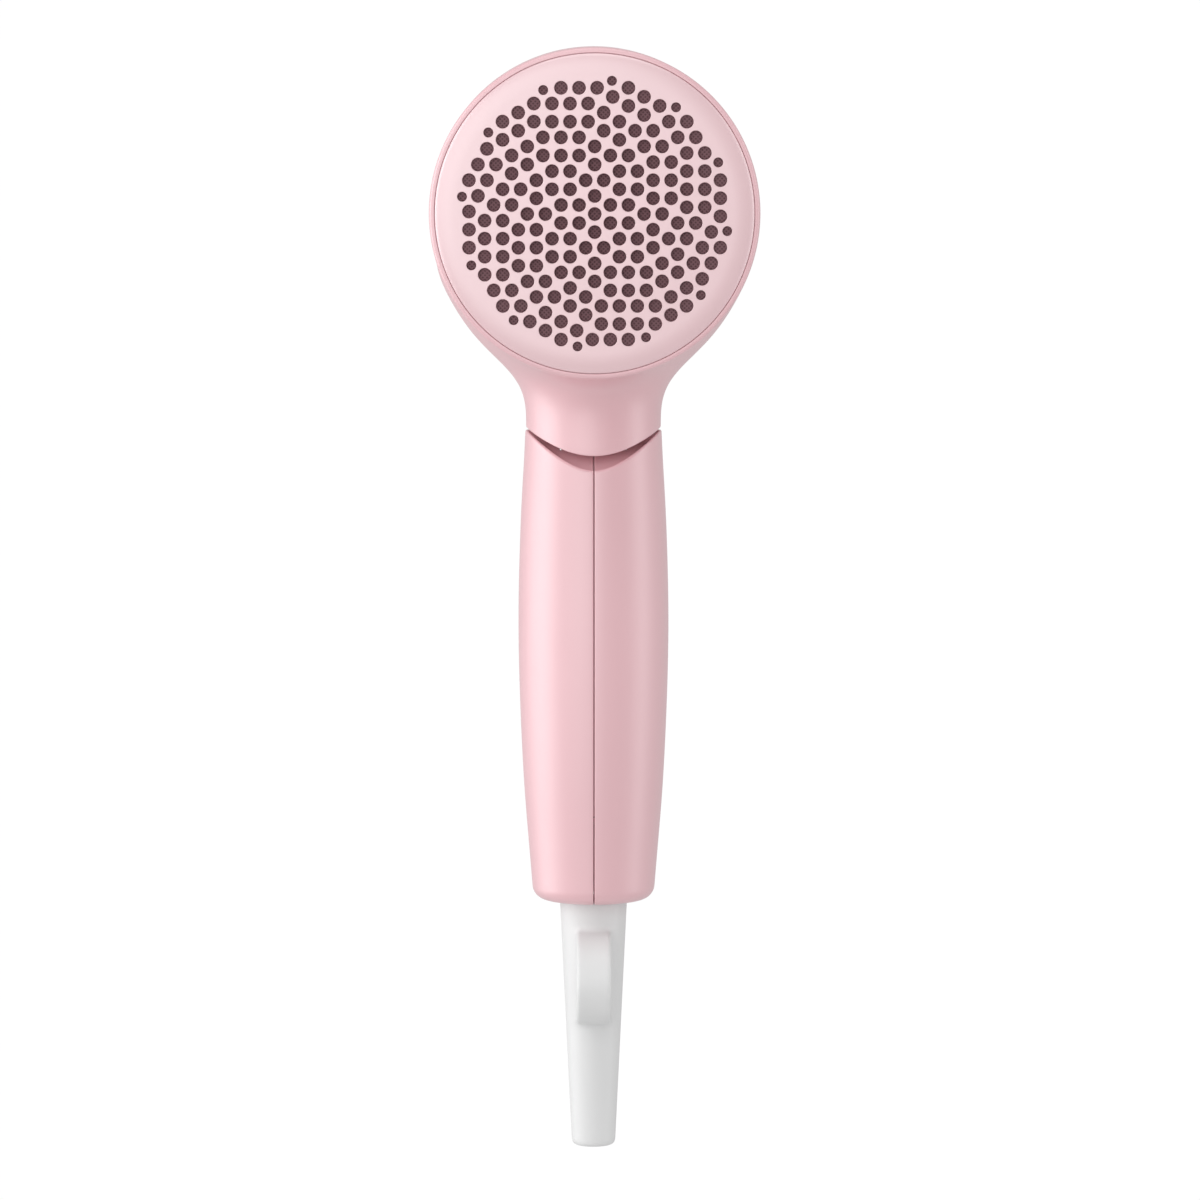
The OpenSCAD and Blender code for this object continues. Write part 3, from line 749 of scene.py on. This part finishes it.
# ---------------------------------------------------------------- handle halves
half_low, half_high = mm_box("handle_right")
HANDLE_LOW, DOME_R = half_low[2], half_high[2] - FOLD_Z
GRIP_WALL = 2.2
CORNER_R, CORNER_IN, CORNER_UP = 15.3, 3.4, 3.6
TAIL_HOLE = 6.55
SEAM, SEAM_EDGE = 0.1, 0.38
SLOT_HALF, SLOT_BACK, SLOT_SLOPE = 8.35, -10.4, math.tan(math.radians(32))
SLOT_EDGE, WINDOW_EDGE, RIM_EDGE = 0.3, 0.22, 0.5
WINDOW_HALF, WINDOW_LOW, WINDOW_HIGH = 6.4, -5.0, 17.0
FLAT_FROM = -20.0
GRIP_Z = [-58.9, -48, -37.5, -25, -12.5, 7, 26, 37.5, 47.5, 58]
GRIP_RADIUS = [CORNER_R, 16.2, 17.05, 17.8, 18.32, 18.7, 18.34, 17.86, 17.28, 16.8]
grip = spline(GRIP_Z, GRIP_RADIUS)
CROWD = (1, 0.72, 0.46, 0.24, 0.08, 0)
GROOVE, GROOVE_IN, GROOVE_WALL = 2.0, 0.05, 0.2


def grip_r(z):
    return float(grip(z))


def crowd(edge, reach):
    """Positions that close in on an edge, so that its rounding has enough rows."""
    return [edge + reach * f for f in CROWD]


def drop_near(distance, r):
    """How deep a rounded edge of radius r lies at a distance from its end."""
    return r - math.sqrt(max(r * r - (r - distance) ** 2, 0)) if distance < r else 0.0


def groove(y):
    """How deep the handle's domed top is sunk behind its rim: all of it at the back, nothing towards the front."""
    return GROOVE * float(smoothstep(-2.5, -6.0, y))


def handle_half(name, side):
    """One half as rows from the bottom to the domed top and columns from the rear seam round to the front seam."""
    columns = [("rear", x) for x in reversed(crowd(SEAM, SEAM_EDGE))]
    columns += [("turn", t) for t in np.linspace(0, 1, 60)]
    columns += [("front", x) for x in crowd(SLOT_HALF, SLOT_EDGE) + [7.4] + crowd(WINDOW_HALF, WINDOW_EDGE)]
    columns += [("front", x) for x in [5.0, 3.6, 2.4, 1.5] + crowd(SEAM, SEAM_EDGE)]

    def angle(kind, v, r, z, inset):
        flat = r if z > FLAT_FROM else grip_r(FLAT_FROM) - inset
        if kind == "rear" or (kind == "front" and v < 1):
            a = math.acos(min(v / r, 1))
            return -a if kind == "rear" else a
        if kind == "front":
            return math.acos(min(v / flat, 1))
        first, last = math.radians(-85), math.acos(9.2 / flat)
        return first + (last - first) * v

    def column_facts(kind, v):
        x = min(v, SLOT_HALF) if kind == "front" else SLOT_HALF
        slot_z = FOLD_Z - SLOT_SLOPE * math.sqrt(grip_r(23) ** 2 - x * x)
        top = FOLD_Z + 12
        for _ in range(12):
            r = grip_r(top)
            y = r * math.sin(angle(kind, v, r, top, 0))
            top = FOLD_Z + math.sqrt(max(DOME_R**2 - y * y, 1))
        return slot_z, top

    # Rows of the body: each is a function of the column's slot height and top
    lower = [(r, HANDLE_LOW) for r in (TAIL_HOLE, 8.0, 10.0, CORNER_R - CORNER_IN)]
    corner_z = HANDLE_LOW + CORNER_UP
    for a in quarter(9):
        lower.append((CORNER_R - CORNER_IN * (1 - math.sin(a)), corner_z - CORNER_UP * math.cos(a)))
    levels = list(np.linspace(corner_z, WINDOW_LOW - 0.6, 38)[1:])
    levels += list(reversed([WINDOW_LOW - WINDOW_EDGE * f for f in reversed(CROWD)]))
    window_first = len(levels) - 1
    levels += list(np.linspace(WINDOW_LOW, WINDOW_HIGH, 16)[1:-1])
    window_last = len(levels)
    levels += [WINDOW_HIGH + WINDOW_EDGE * f for f in reversed(CROWD)]
    to_slot = [(1 - t) for t in (0.25, 0.5, 0.75)]
    n_low, n_levels = len(lower), len(levels)
    slot_row = n_low + n_levels + len(to_slot) + len(CROWD) - 1
    outer, inner, kinds = [], [], []
    facts = [column_facts(*c) for c in columns]
    seat_y = None
    for j, (kind, v) in enumerate(columns):
        slot_z, top = facts[j]
        rim_low = top - RIM_EDGE
        zs = list(levels)
        start = WINDOW_HIGH + WINDOW_EDGE
        zs += [slot_z - SLOT_EDGE - (slot_z - SLOT_EDGE - start) * f for f in to_slot]
        zs += [slot_z - SLOT_EDGE * f for f in CROWD]
        zs += [slot_z + (rim_low - slot_z) * t for t in np.linspace(0, 1, 19)[1:]]
        points, normals, within = [], [], []
        inner_top_y = (grip_r(top) - GRIP_WALL) * math.sin(angle(kind, v, grip_r(top) - GRIP_WALL, top, GRIP_WALL))
        inner_top = FOLD_Z + math.sqrt(max((DOME_R - GRIP_WALL) ** 2 - inner_top_y**2, 1))
        for k, (r, z) in enumerate(lower):
            a = angle(kind, v, r, z, 0)
            turn = max(0, k - 3) / 9 * math.pi / 2
            points.append((r * math.cos(a), r * math.sin(a), z))
            normals.append((math.sin(turn) * math.cos(a), math.sin(turn) * math.sin(a), -math.cos(turn)))
            r_in, z_in = min(r, CORNER_R - GRIP_WALL), max(z, HANDLE_LOW + 2.5)
            a = angle(kind, v, r_in, z_in, GRIP_WALL)
            within.append((r_in * math.cos(a), r_in * math.sin(a), z_in))
        for z in zs:
            r = grip_r(z)
            a = angle(kind, v, r, z, 0)
            slope = (grip_r(z + 0.1) - grip_r(z - 0.1)) / 0.2
            size = math.hypot(1, slope)
            points.append((r * math.cos(a), r * math.sin(a), z))
            normals.append((math.cos(a) / size, math.sin(a) / size, -slope / size))
            r_in, z_in = r - GRIP_WALL, min(max(z, HANDLE_LOW + 2.5), inner_top)
            a = angle(kind, v, r_in, z, GRIP_WALL)
            within.append((r_in * math.cos(a), r_in * math.sin(a), z_in))
        # Rounded rim from the side of the body onto the dome
        a = angle(kind, v, grip_r(top), top, 0)
        corner = np.array([grip_r(top) * math.cos(a), grip_r(top) * math.sin(a), top])
        side_n = np.array([math.cos(a), math.sin(a), 0.0])
        dome_n = np.array([0, corner[1], top - FOLD_Z]) / DOME_R
        along = np.cross(side_n, dome_n)
        along /= max(np.linalg.norm(along), 1e-9)
        inward = np.cross(along, dome_n)
        inward *= -1 if inward @ side_n > 0 else 1
        far = corner + RIM_EDGE * inward
        scale = DOME_R / math.hypot(far[1], far[2] - FOLD_Z)
        far[1], far[2] = far[1] * scale, FOLD_Z + (far[2] - FOLD_Z) * scale
        near = np.array(points[-1])
        far_n = np.array([0, far[1], far[2] - FOLD_Z]) / DOME_R
        shrink = (DOME_R - GRIP_WALL) / DOME_R
        for t in (0.14, 0.3, 0.46, 0.62, 0.8, 1.0):
            points.append(tuple((1 - t) ** 2 * near + 2 * t * (1 - t) * corner + t * t * far))
            n = side_n * (1 - t) + far_n * t
            normals.append(tuple(n / np.linalg.norm(n)))
            within.append(within[-1][:2] + (inner_top,))
        # The dome, in straight lines along X to the slot and on to the seam
        in_front = far[1] > SLOT_BACK
        if in_front and seat_y is None:
            seat_y, seat_column, seat_span = far[1], j, far[0] - SEAM
        middle = min(SLOT_HALF, far[0]) if in_front else None
        kinds.append((far, in_front, middle))
        outer.append((points, normals))
        inner.append(within)
    share = (SLOT_HALF - SEAM) / seat_span
    rims = []
    for j, (far, in_front, middle) in enumerate(kinds):
        points, normals = outer[j]
        within = inner[j]
        rim = math.hypot(far[0], far[1]) - GROOVE_IN
        rims.append(rim)
        wall = math.sqrt(max(rim * rim - far[1] ** 2, 0))
        if middle is None:
            middle = SEAM + min((far[0] - SEAM) * share, 0.6 * wall)
        wall = min(max(wall, middle + 0.3 * (far[0] - middle)), far[0] - 0.02)
        foot = max(wall - GROOVE_WALL, middle + 0.5 * (wall - middle))
        gap = foot - middle
        reach = min(SLOT_EDGE, 0.25 * gap)
        xs = [(far[0] + wall) / 2, wall, (wall + foot) / 2, foot]
        xs += [middle + (gap - reach) * f + reach for f in (0.66, 0.33)] + [middle + reach * f for f in CROWD]
        gap = middle - SEAM
        reach = min(SEAM_EDGE, 0.25 * gap)
        xs += [SEAM + (gap - reach) * f + reach for f in (0.75, 0.5, 0.25)] + [SEAM + reach * f for f in CROWD]
        dome_n = (0, far[1] / DOME_R, (far[2] - FOLD_Z) / DOME_R)
        for x in xs:
            points.append((x, far[1], far[2]))
            normals.append(dome_n)
            limit = math.sqrt(max((grip_r(far[2]) - GRIP_WALL) ** 2 - (far[1] * shrink) ** 2, 0))
            x_in = min(x, max(limit, middle if in_front else SEAM))
            within.append((x_in, far[1] * shrink, FOLD_Z + (far[2] - FOLD_Z) * shrink))
    n_rows = len(outer[0][0])
    seam_rows = n_rows - (3 + len(CROWD))
    dome_row = seam_rows - (6 + len(CROWD))
    slot_columns = [j for j, c in enumerate(columns) if c[0] == "front" and c[1] <= SLOT_HALF + 1e-9]
    window_columns = [j for j in slot_columns if columns[j][1] <= WINDOW_HALF + 1e-9]
    first_slot, first_window = slot_columns[0], window_columns[0]
    window_rows = (n_low + window_first, n_low + window_last)

    def sunk(i, j):
        """The outside point, lowered where it nears a seam, the slot or the window."""
        p, n = np.array(outer[j][0][i]), np.array(outer[j][1][i])
        kind = columns[j][0]
        slot_z = facts[j][0]
        drops = [0.0]
        if kind == "rear" or (kind == "front" and p[0] < 1) or (i >= dome_row and p[0] < 1 and not kinds[j][1]):
            drops.append(drop_near(max(p[0] - SEAM, 0), SEAM_EDGE))
        if kind == "front" and i < dome_row:
            away = math.hypot(max(p[0] - SLOT_HALF, 0), max(slot_z - p[2], 0))
            drops.append(drop_near(away, SLOT_EDGE))
            away_z = max(p[2] - WINDOW_HIGH, WINDOW_LOW - p[2], 0)
            drops.append(drop_near(math.hypot(max(p[0] - WINDOW_HALF, 0), away_z), WINDOW_EDGE))
        if i >= dome_row:
            away = math.hypot(max(p[0] - SLOT_HALF, 0), max(seat_y - p[1], 0))
            drops.append(drop_near(away, SLOT_EDGE))
        behind = 0.0
        if i >= dome_row:
            past = (rims[j] - math.hypot(p[0], p[1])) / GROOVE_WALL
            behind = groove(p[1]) * min(max(past, 0), 1)
        return p - n * (max(drops) + behind)

    n_cols = len(columns)
    skin = Skin()
    for j in range(n_cols):
        skin.row([sunk(i, j) for i in range(n_rows)])
    for j in range(n_cols):
        skin.row(inner[j])
    shift = n_cols * n_rows
    cells = []
    for j in range(n_cols - 1):
        for i in range(n_rows - 1):
            open_slot = i >= slot_row and j >= first_slot
            open_window = window_rows[0] <= i < window_rows[1] and j >= first_window
            past_seat = i >= seam_rows - 1 and j >= seat_column
            if not (open_slot or open_window or past_seat):
                cells.append((i, j))
    borders = {}
    for i, j in cells:
        a, b, c, d = j * n_rows + i, (j + 1) * n_rows + i, (j + 1) * n_rows + i + 1, j * n_rows + i + 1
        skin.faces.append((a, b, c, d))
        skin.faces.append((shift + d, shift + c, shift + b, shift + a))
        for edge in ((a, b), (b, c), (c, d), (d, a)):
            if edge[::-1] in borders:
                del borders[edge[::-1]]
            else:
                borders[edge] = True
    skin.faces += [(b, a, shift + a, shift + b) for a, b in borders]
    skin.verts = [(side * x, y, z) for x, y, z in skin.verts]
    half = skin.finish(name, 50, 4e-3)
    return half


def cheek(side):
    """The plate that carries the hinge pin, beside the slot."""
    inset, far_x = 0.45, SLOT_HALF + GRIP_WALL
    outline = []
    for z in np.linspace(18, 47.5, 16):
        outline.append((math.sqrt((grip_r(z) - inset) ** 2 - far_x**2) - 0.05, z))
    last = math.asin(min(outline[-1][0] / (DOME_R - inset), 1))
    arc = []
    for a in np.linspace(last, -last, 40):
        r = DOME_R - inset - groove(DOME_R * math.sin(a) - 1.0)
        arc.append((r * math.sin(a), FOLD_Z + r * math.cos(a)))
    back_z = arc[-1][1]
    outline += arc[1:] + [(-y, z) for y, z in reversed(outline) if z < back_z - 0.5]
    return prism("cheek", outline, side * SLOT_HALF, side * (SLOT_HALF + GRIP_WALL))


def tongue():
    """A strip on the left half that closes the rear seam from inside."""
    skin = Skin()
    rows = []
    for z in np.linspace(-40, 45, 30):
        y = grip_r(z) - GRIP_WALL
        plan = [(-1.8, 0.3), (-0.4, 0.3), (-0.4, -0.15), (1.3, -0.15), (1.3, -0.9), (-1.8, -0.9)]
        rows.append(skin.row([(x, -y - out, z) for x, out in plan]))
    skin.bridge(rows)
    skin.faces += [tuple(reversed(rows[0])), tuple(rows[-1])]
    return skin.finish("tongue", 30)


def screw_well(y, z):
    """A tube from under the skin down to the screw's head, with a floor."""
    turn = np.arange(32) * 2 * math.pi / 32
    well, outside, floor = 2.4, 3.0, WELL_FLOOR
    skin = Skin()

    def under_skin(r):
        yy, zz = y + r * np.cos(turn), z + r * np.sin(turn)
        return np.stack([np.sqrt((grip(zz) - 0.6) ** 2 - yy**2), yy, zz], -1)

    def level(r, x):
        return np.stack([np.full(32, x), y + r * np.cos(turn), z + r * np.sin(turn)], -1)

    rows = [level(0.01, floor), level(well, floor), under_skin(well), under_skin(outside), level(outside, floor - 1)]
    rows.append(level(0.01, floor - 1))
    skin.bridge([skin.row(r) for r in rows])
    return skin.finish("well", 30)


def merged(name, objs, angle):
    """Closed shells of one piece in one mesh, kept as they are."""
    obj = join(name, objs)
    bm = bmesh.new()
    bm.from_mesh(obj.data)
    bmesh.ops.recalc_face_normals(bm, faces=bm.faces)
    bm.to_mesh(obj.data)
    bm.free()
    shade(obj, angle)
    return obj


screws_low, screws_high = mm_box("handle_screws")
SCREW_HEAD_R, WELL_FLOOR = 2.2, 9.0
SCREW_Y = (screws_low[1] + screws_high[1]) / 2
SCREW_AT = [(SCREW_Y, screws_high[2] - SCREW_HEAD_R), (SCREW_Y, screws_low[2] + SCREW_HEAD_R)]
left = merged("handle_shell_left", [handle_half("left", -1), cheek(-1), tongue()], 50)
piece(left, "handle", "handle_pink", "handle_left")
right_skin = handle_half("right", 1)
right_cheek = cheek(1)
for drilled in (right_skin, right_cheek):
    bit = [(0, 0), (2.43, 0), (2.43, 11.1), (0, 11.1)]
    cut(drilled, [revolve("drill", bit, "X", (WELL_FLOOR - 0.1, y, z), 32) for y, z in SCREW_AT])
wells = [screw_well(y, z) for y, z in SCREW_AT]
right = merged("handle_shell_right", [right_skin, right_cheek] + wells, 50)
piece(right, "handle", "handle_pink", "handle_right")


# ---------------------------------------------------------------- tail and hanging loop
tail_low, tail_high = mm_box("tail")
TAIL_END, TAIL_TOP = tail_low[2], HANDLE_LOW - 0.1
TAIL_END_R, TAIL_TOP_R = 5.4, 8.4
CORD_R = 3.4
LOOP_Z, LOOP_HALF, LOOP_EDGE = -81.5, 4.3, 0.9
LOOP_FROM, LOOP_BACK, LOOP_UP = -8.0, tail_low[1], 11.5
LOOP_HOLE_Y, LOOP_HOLE_R = -13.0, 5.0


def tail_field(p):
    x, y, z = np.moveaxis(p, -1, 0)
    taper = (TAIL_TOP_R - TAIL_END_R) / (TAIL_TOP - TAIL_END)
    round_r = np.hypot(x, y)
    body = (round_r - TAIL_END_R - taper * (z - TAIL_END)) / math.hypot(1, taper)
    body = smooth_max(body, TAIL_END - z, 1.6)
    body = smooth_max(body, z - TAIL_TOP, 0.6)
    # The loop: half an ellipse behind the tail, straight where it runs into it, pierced by a round hole
    u, v = np.minimum(y - LOOP_FROM, 0), z - LOOP_Z
    a, b = LOOP_FROM - LOOP_BACK, LOOP_UP
    f, g = np.hypot(u / a, v / b), np.hypot(u / a**2, v / b**2)
    outside = f * (f - 1) / np.maximum(g, 1e-3)
    outside = np.maximum(outside, y + 3)
    hole = LOOP_HOLE_R - np.hypot(y - LOOP_HOLE_Y, v)
    flat = np.maximum(outside, hole) + LOOP_EDGE
    side = np.abs(x) - LOOP_HALF + LOOP_EDGE
    loop = np.minimum(np.maximum(flat, side), 0) + np.hypot(np.maximum(flat, 0), np.maximum(side, 0)) - LOOP_EDGE
    both = smooth_min(body, loop, 1.8)
    return smooth_max(both, CORD_R - round_r, 0.7)


def solid_from(name, field, low, high, step, angle=None, relax=2):
    verts, faces = surface_of(field, low, high, step, relax)
    return Skin(verts, faces).finish(name, angle)


tail = solid_from("tail_body", tail_field, (-10, LOOP_BACK - 2, TAIL_END - 2), (10, 10, TAIL_TOP + 2), 0.5)
piece(tail, "handle", "tail_white", "tail")


# ---------------------------------------------------------------- slide switch
knob_low, knob_high = mm_box("switch_knob")
bezel_low, bezel_high = mm_box("switch_bezel")
KNOB_MID_Z = (knob_low[2] + knob_high[2]) / 2
STEM_HALF, STEM_UP, STEM_IN = 3.0, 4.0, knob_low[1]
KNOB_FOOT = 19.3
GROOVE_STEP, GROOVE_R = 3.0, 0.55


def knob_field(p):
    x, y, z = np.moveaxis(p, -1, 0)
    v = z - KNOB_MID_Z
    half_x, half_z = knob_high[0], (knob_high[2] - knob_low[2]) / 2
    crown = knob_high[1] - 0.5 * (x / half_x) ** 2 - 0.35 * (v / half_z) ** 2
    mid = (KNOB_FOOT + knob_high[1]) / 2
    cap = rounded_box(p, (0, mid, KNOB_MID_Z), (half_x, knob_high[1] - mid + 0.3, half_z), 1.1)
    cap = smooth_max(cap, y - crown, 0.5)
    for k in (-1, 0, 1):
        groove = GROOVE_R - np.hypot(v - k * GROOVE_STEP, y - knob_high[1] + 0.15)
        cap = smooth_max(cap, np.minimum(groove, GROOVE_R), 0.3)
    stem_mid = (STEM_IN + mid) / 2
    stem = rounded_box(p, (0, stem_mid, KNOB_MID_Z), (STEM_HALF, mid - stem_mid, STEM_UP), 0.4)
    return smooth_min(cap, stem, 0.4)


def bezel_field(p):
    x, y, z = np.moveaxis(p, -1, 0)
    mid_z = (bezel_low[2] + bezel_high[2]) / 2
    half_x, half_z = bezel_high[0], (bezel_high[2] - bezel_low[2]) / 2
    frame_box = rounded_box(p, (0, 15, mid_z), (half_x, 6, half_z), 0.35)
    skin_top = np.hypot(x, y) - grip(z) - 0.15
    solid = smooth_max(smooth_max(frame_box, skin_top, 0.5), bezel_low[1] - y, 0.3)
    slot = rounded_box(p, (0, 15, mid_z), (3.3, 9, 8.3), 0.8)
    return smooth_max(solid, -slot, 0.7)


knob = solid_from("slide_knob", knob_field, knob_low - 1, knob_high + 1, 0.28)
piece(knob, "switch", "white_plastic", "switch_knob")
bezel = solid_from("slide_bezel", bezel_field, bezel_low - 1, bezel_high + 1, 0.32)
piece(bezel, "handle", "white_plastic", "switch_bezel")


# ---------------------------------------------------------------- outlet
collar_low, collar_high = mm_box("outlet_collar")
COLLAR_R, COLLAR_IN, COLLAR_NECK = 24.0, 22.0, 23.7
collar_profile = [
    (COLLAR_IN, collar_low[1]), (collar_high[0], collar_low[1]), (collar_high[0], collar_low[1] + 2),
    (COLLAR_NECK, collar_low[1] + 2), (COLLAR_NECK, collar_low[1] + 4.5), (COLLAR_R, collar_low[1] + 4.5),
    (COLLAR_R, collar_high[1]), (COLLAR_IN, collar_high[1]), (COLLAR_IN, collar_low[1]),
]
collar_rounding = [0.2, 0.2, 0, 0, 0.25, 0.7, 0.7]
ring_points = rounded(collar_profile, collar_rounding)[:-1]
collar = revolve("outlet_ring", ring_points, "Y", (0, 0, AXIS_Z), 144, True, 40)
piece(collar, "head", "collar_grey", "outlet_collar")

grille_low, grille_high = mm_box("outlet_grille")
GRILLE_DEEP = 1.6


def bead(r_mid, half_w, y0, y1, edge=0.3):
    """The rounded section of one ring of the grille."""
    w, h = half_w, (y1 - y0) / 2
    pts = [(r_mid, y0), (r_mid + w, y0), (r_mid + w, y1), (r_mid - w, y1), (r_mid - w, y0), (r_mid, y0)]
    return rounded(pts, min(edge, w * 0.9, h * 0.9), 4)[:-1]


def spoke(turn):
    c, s = math.cos(turn), math.sin(turn)
    y0, y1 = grille_low[1], grille_low[1] + GRILLE_DEEP
    section = rounded([(0, y0), (0.5, y0), (0.5, y1), (-0.5, y1), (-0.5, y0), (0, y0)], 0.28, 3)[:-1]
    skin = Skin()
    rows = []
    for r in (2.0, 8.0, 15.0, COLLAR_IN - 0.6):
        rows.append(skin.row([(r * c - w * s, y, AXIS_Z + r * s + w * c) for w, y in section]))
    skin.bridge(rows)
    skin.faces += [tuple(reversed(rows[0])), tuple(rows[-1])]
    return skin.finish("spoke", 40)


front = grille_low[1] + GRILLE_DEEP
centre = (0, 0, AXIS_Z)
bars = [revolve("bar", bead(r, 0.5, grille_low[1], front), "Y", centre, 96, True) for r in (6.5 - 0.5, 11, 16)]
bars.append(revolve("bar", bead(COLLAR_IN - 0.55, 0.5, grille_low[1], grille_high[1]), "Y", centre, 128, True))
dish = [(0, grille_low[1]), (2.5, grille_low[1]), (2.5, front - 0.1), (1.4, front + 0.25), (0, front + 0.35)]
bars.append(revolve("bar", rounded(dish, [0.3, 0.4, 0.6]), "Y", centre, 48))
bars += [spoke(math.radians(60 * k)) for k in range(6)]
piece(merged("outlet_guard", bars, 40), "head", "grille_dark", "outlet_grille")


# ---------------------------------------------------------------- the rest of the CAD model keeps its shape
SOFT_EDGES = {
    "fan_duct": 0.3, "motor_can": 0.5, "motor_brush_cap": 0.4, "fan_impeller": 0.25, "thermostat": 0.3,
    "hinge_knuckle": 0.4, "knuckle_screws": 0.25, "hinge_pin_left": 0.4, "hinge_pin_right": 0.4,
    "switch_body": 0.4, "switch_terminals": 0.15, "circuit_board": 0.15, "capacitor": 0.6, "cord_clamp": 0.5,
    "clamp_screws": 0.3, "handle_screws": 0.3, "fold_detent": 0.08, "rectifier_diodes": 0.25,
}
shown_nodes = {row["node"]: row["material_slot"] for row in frame["record"]["subparts"]}
for node_name, slot_name in shown_nodes.items():
    node = nodes[node_name]
    paint(node, slot_name)
    modifier(node, "WELD", merge_threshold=1e-6)
    if node_name in SOFT_EDGES:
        width = SOFT_EDGES[node_name] * MM
        modifier(node, "BEVEL", width=width, segments=2, limit_method="ANGLE", angle_limit=math.radians(40))


# ---------------------------------------------------------------- camera, light and floor
PITCH, YAW = math.radians(5.61), math.radians(0.489)


def make_camera():
    data = bpy.data.cameras.new("camera")
    data.lens = 181.0
    data.sensor_width = 36.0
    cam = bpy.data.objects.new("camera", data)
    cam.location = Vector((-11.15, -1497.0, 159.5)) * MM
    level, down = math.cos(PITCH), math.sin(PITCH)
    forward = Vector((math.sin(YAW) * level, math.cos(YAW) * level, -down))
    cam.rotation_mode = "QUATERNION"
    cam.rotation_quaternion = forward.to_track_quat("-Z", "Y")
    bpy.context.scene.collection.objects.link(cam)
    bpy.context.scene.camera = cam


def softbox(name, at, towards, size, power, colour=(1, 1, 1)):
    data = bpy.data.lights.new(name, "AREA")
    data.shape = "RECTANGLE"
    data.size, data.size_y = size
    data.energy = power
    data.color = colour
    lamp = bpy.data.objects.new(name, data)
    lamp.location = at
    lamp.rotation_mode = "QUATERNION"
    lamp.rotation_quaternion = (Vector(towards) - Vector(at)).to_track_quat("-Z", "Y")
    bpy.context.scene.collection.objects.link(lamp)


def aim(turn, rise, away):
    """Where a light stands, turned from the camera's side and raised in degrees, and what it faces."""
    turn, rise = math.radians(turn), math.radians(rise)
    towards = Vector((0, 0, 0.04))
    out = Vector((math.sin(turn) * math.cos(rise), -math.cos(turn) * math.cos(rise), math.sin(rise)))
    return towards + out * away, towards


def glowing(name, colour, glow):
    mat, nt, b = tree(name)
    b.inputs["Base Color"].default_value = (*colour, 1)
    b.inputs["Roughness"].default_value = 0.9
    b.inputs["Emission Color"].default_value = (1, 1, 1, 1)
    b.inputs["Emission Strength"].default_value = glow
    return mat


def make_stage():
    """A pale floor below the object and a white backdrop all round, far off, that only the camera sees."""
    reach, below = 7000.0, -1800.0
    turn = np.arange(64) * 2 * math.pi / 64
    skin = Skin()
    rings = [skin.row(np.stack([r * np.cos(turn), r * np.sin(turn), np.full(64, below)], -1)) for r in (1, reach)]
    skin.bridge(rings)
    floor = skin.finish("floor")
    floor.data.materials.append(glowing("floor_white", (0.9, 0.9, 0.9), 0.05))
    profile = [(reach * math.sin(a), reach * math.cos(a)) for a in np.linspace(0, math.pi, 24)]
    backdrop = revolve("backdrop", profile, "Z", (0, 0, 0), 48)
    backdrop.data.materials.append(glowing("backdrop_white", (0, 0, 0), 1.0))
    for ray in ("visible_diffuse", "visible_glossy", "visible_shadow", "visible_transmission"):
        setattr(backdrop, ray, False)


make_camera()
make_stage()
softbox("left_front", *aim(-75, 12, 1.2), (0.6, 1.4), 4.8)
softbox("left_back", *aim(-100, 4, 1.2), (0.7, 1.5), 4.2)
softbox("right_edge", *aim(80, 8, 1.2), (0.5, 1.4), 2.7)
softbox("near_left", *aim(-18, 3, 1.9), (0.6, 0.9), 1.0)
softbox("near_high", *aim(-19, 13, 1.9), (2.1, 1.8), 11.0)
softbox("overhead", *aim(0, 80, 1.4), (1.2, 1.2), 4.0)
world = bpy.data.worlds.new("studio")
world.use_nodes = True
world.node_tree.nodes["Background"].inputs["Color"].default_value = (1, 1, 1, 1)
world.node_tree.nodes["Background"].inputs["Strength"].default_value = 0.605
bpy.context.scene.world = world
bpy.context.scene.view_settings.view_transform = "Standard"
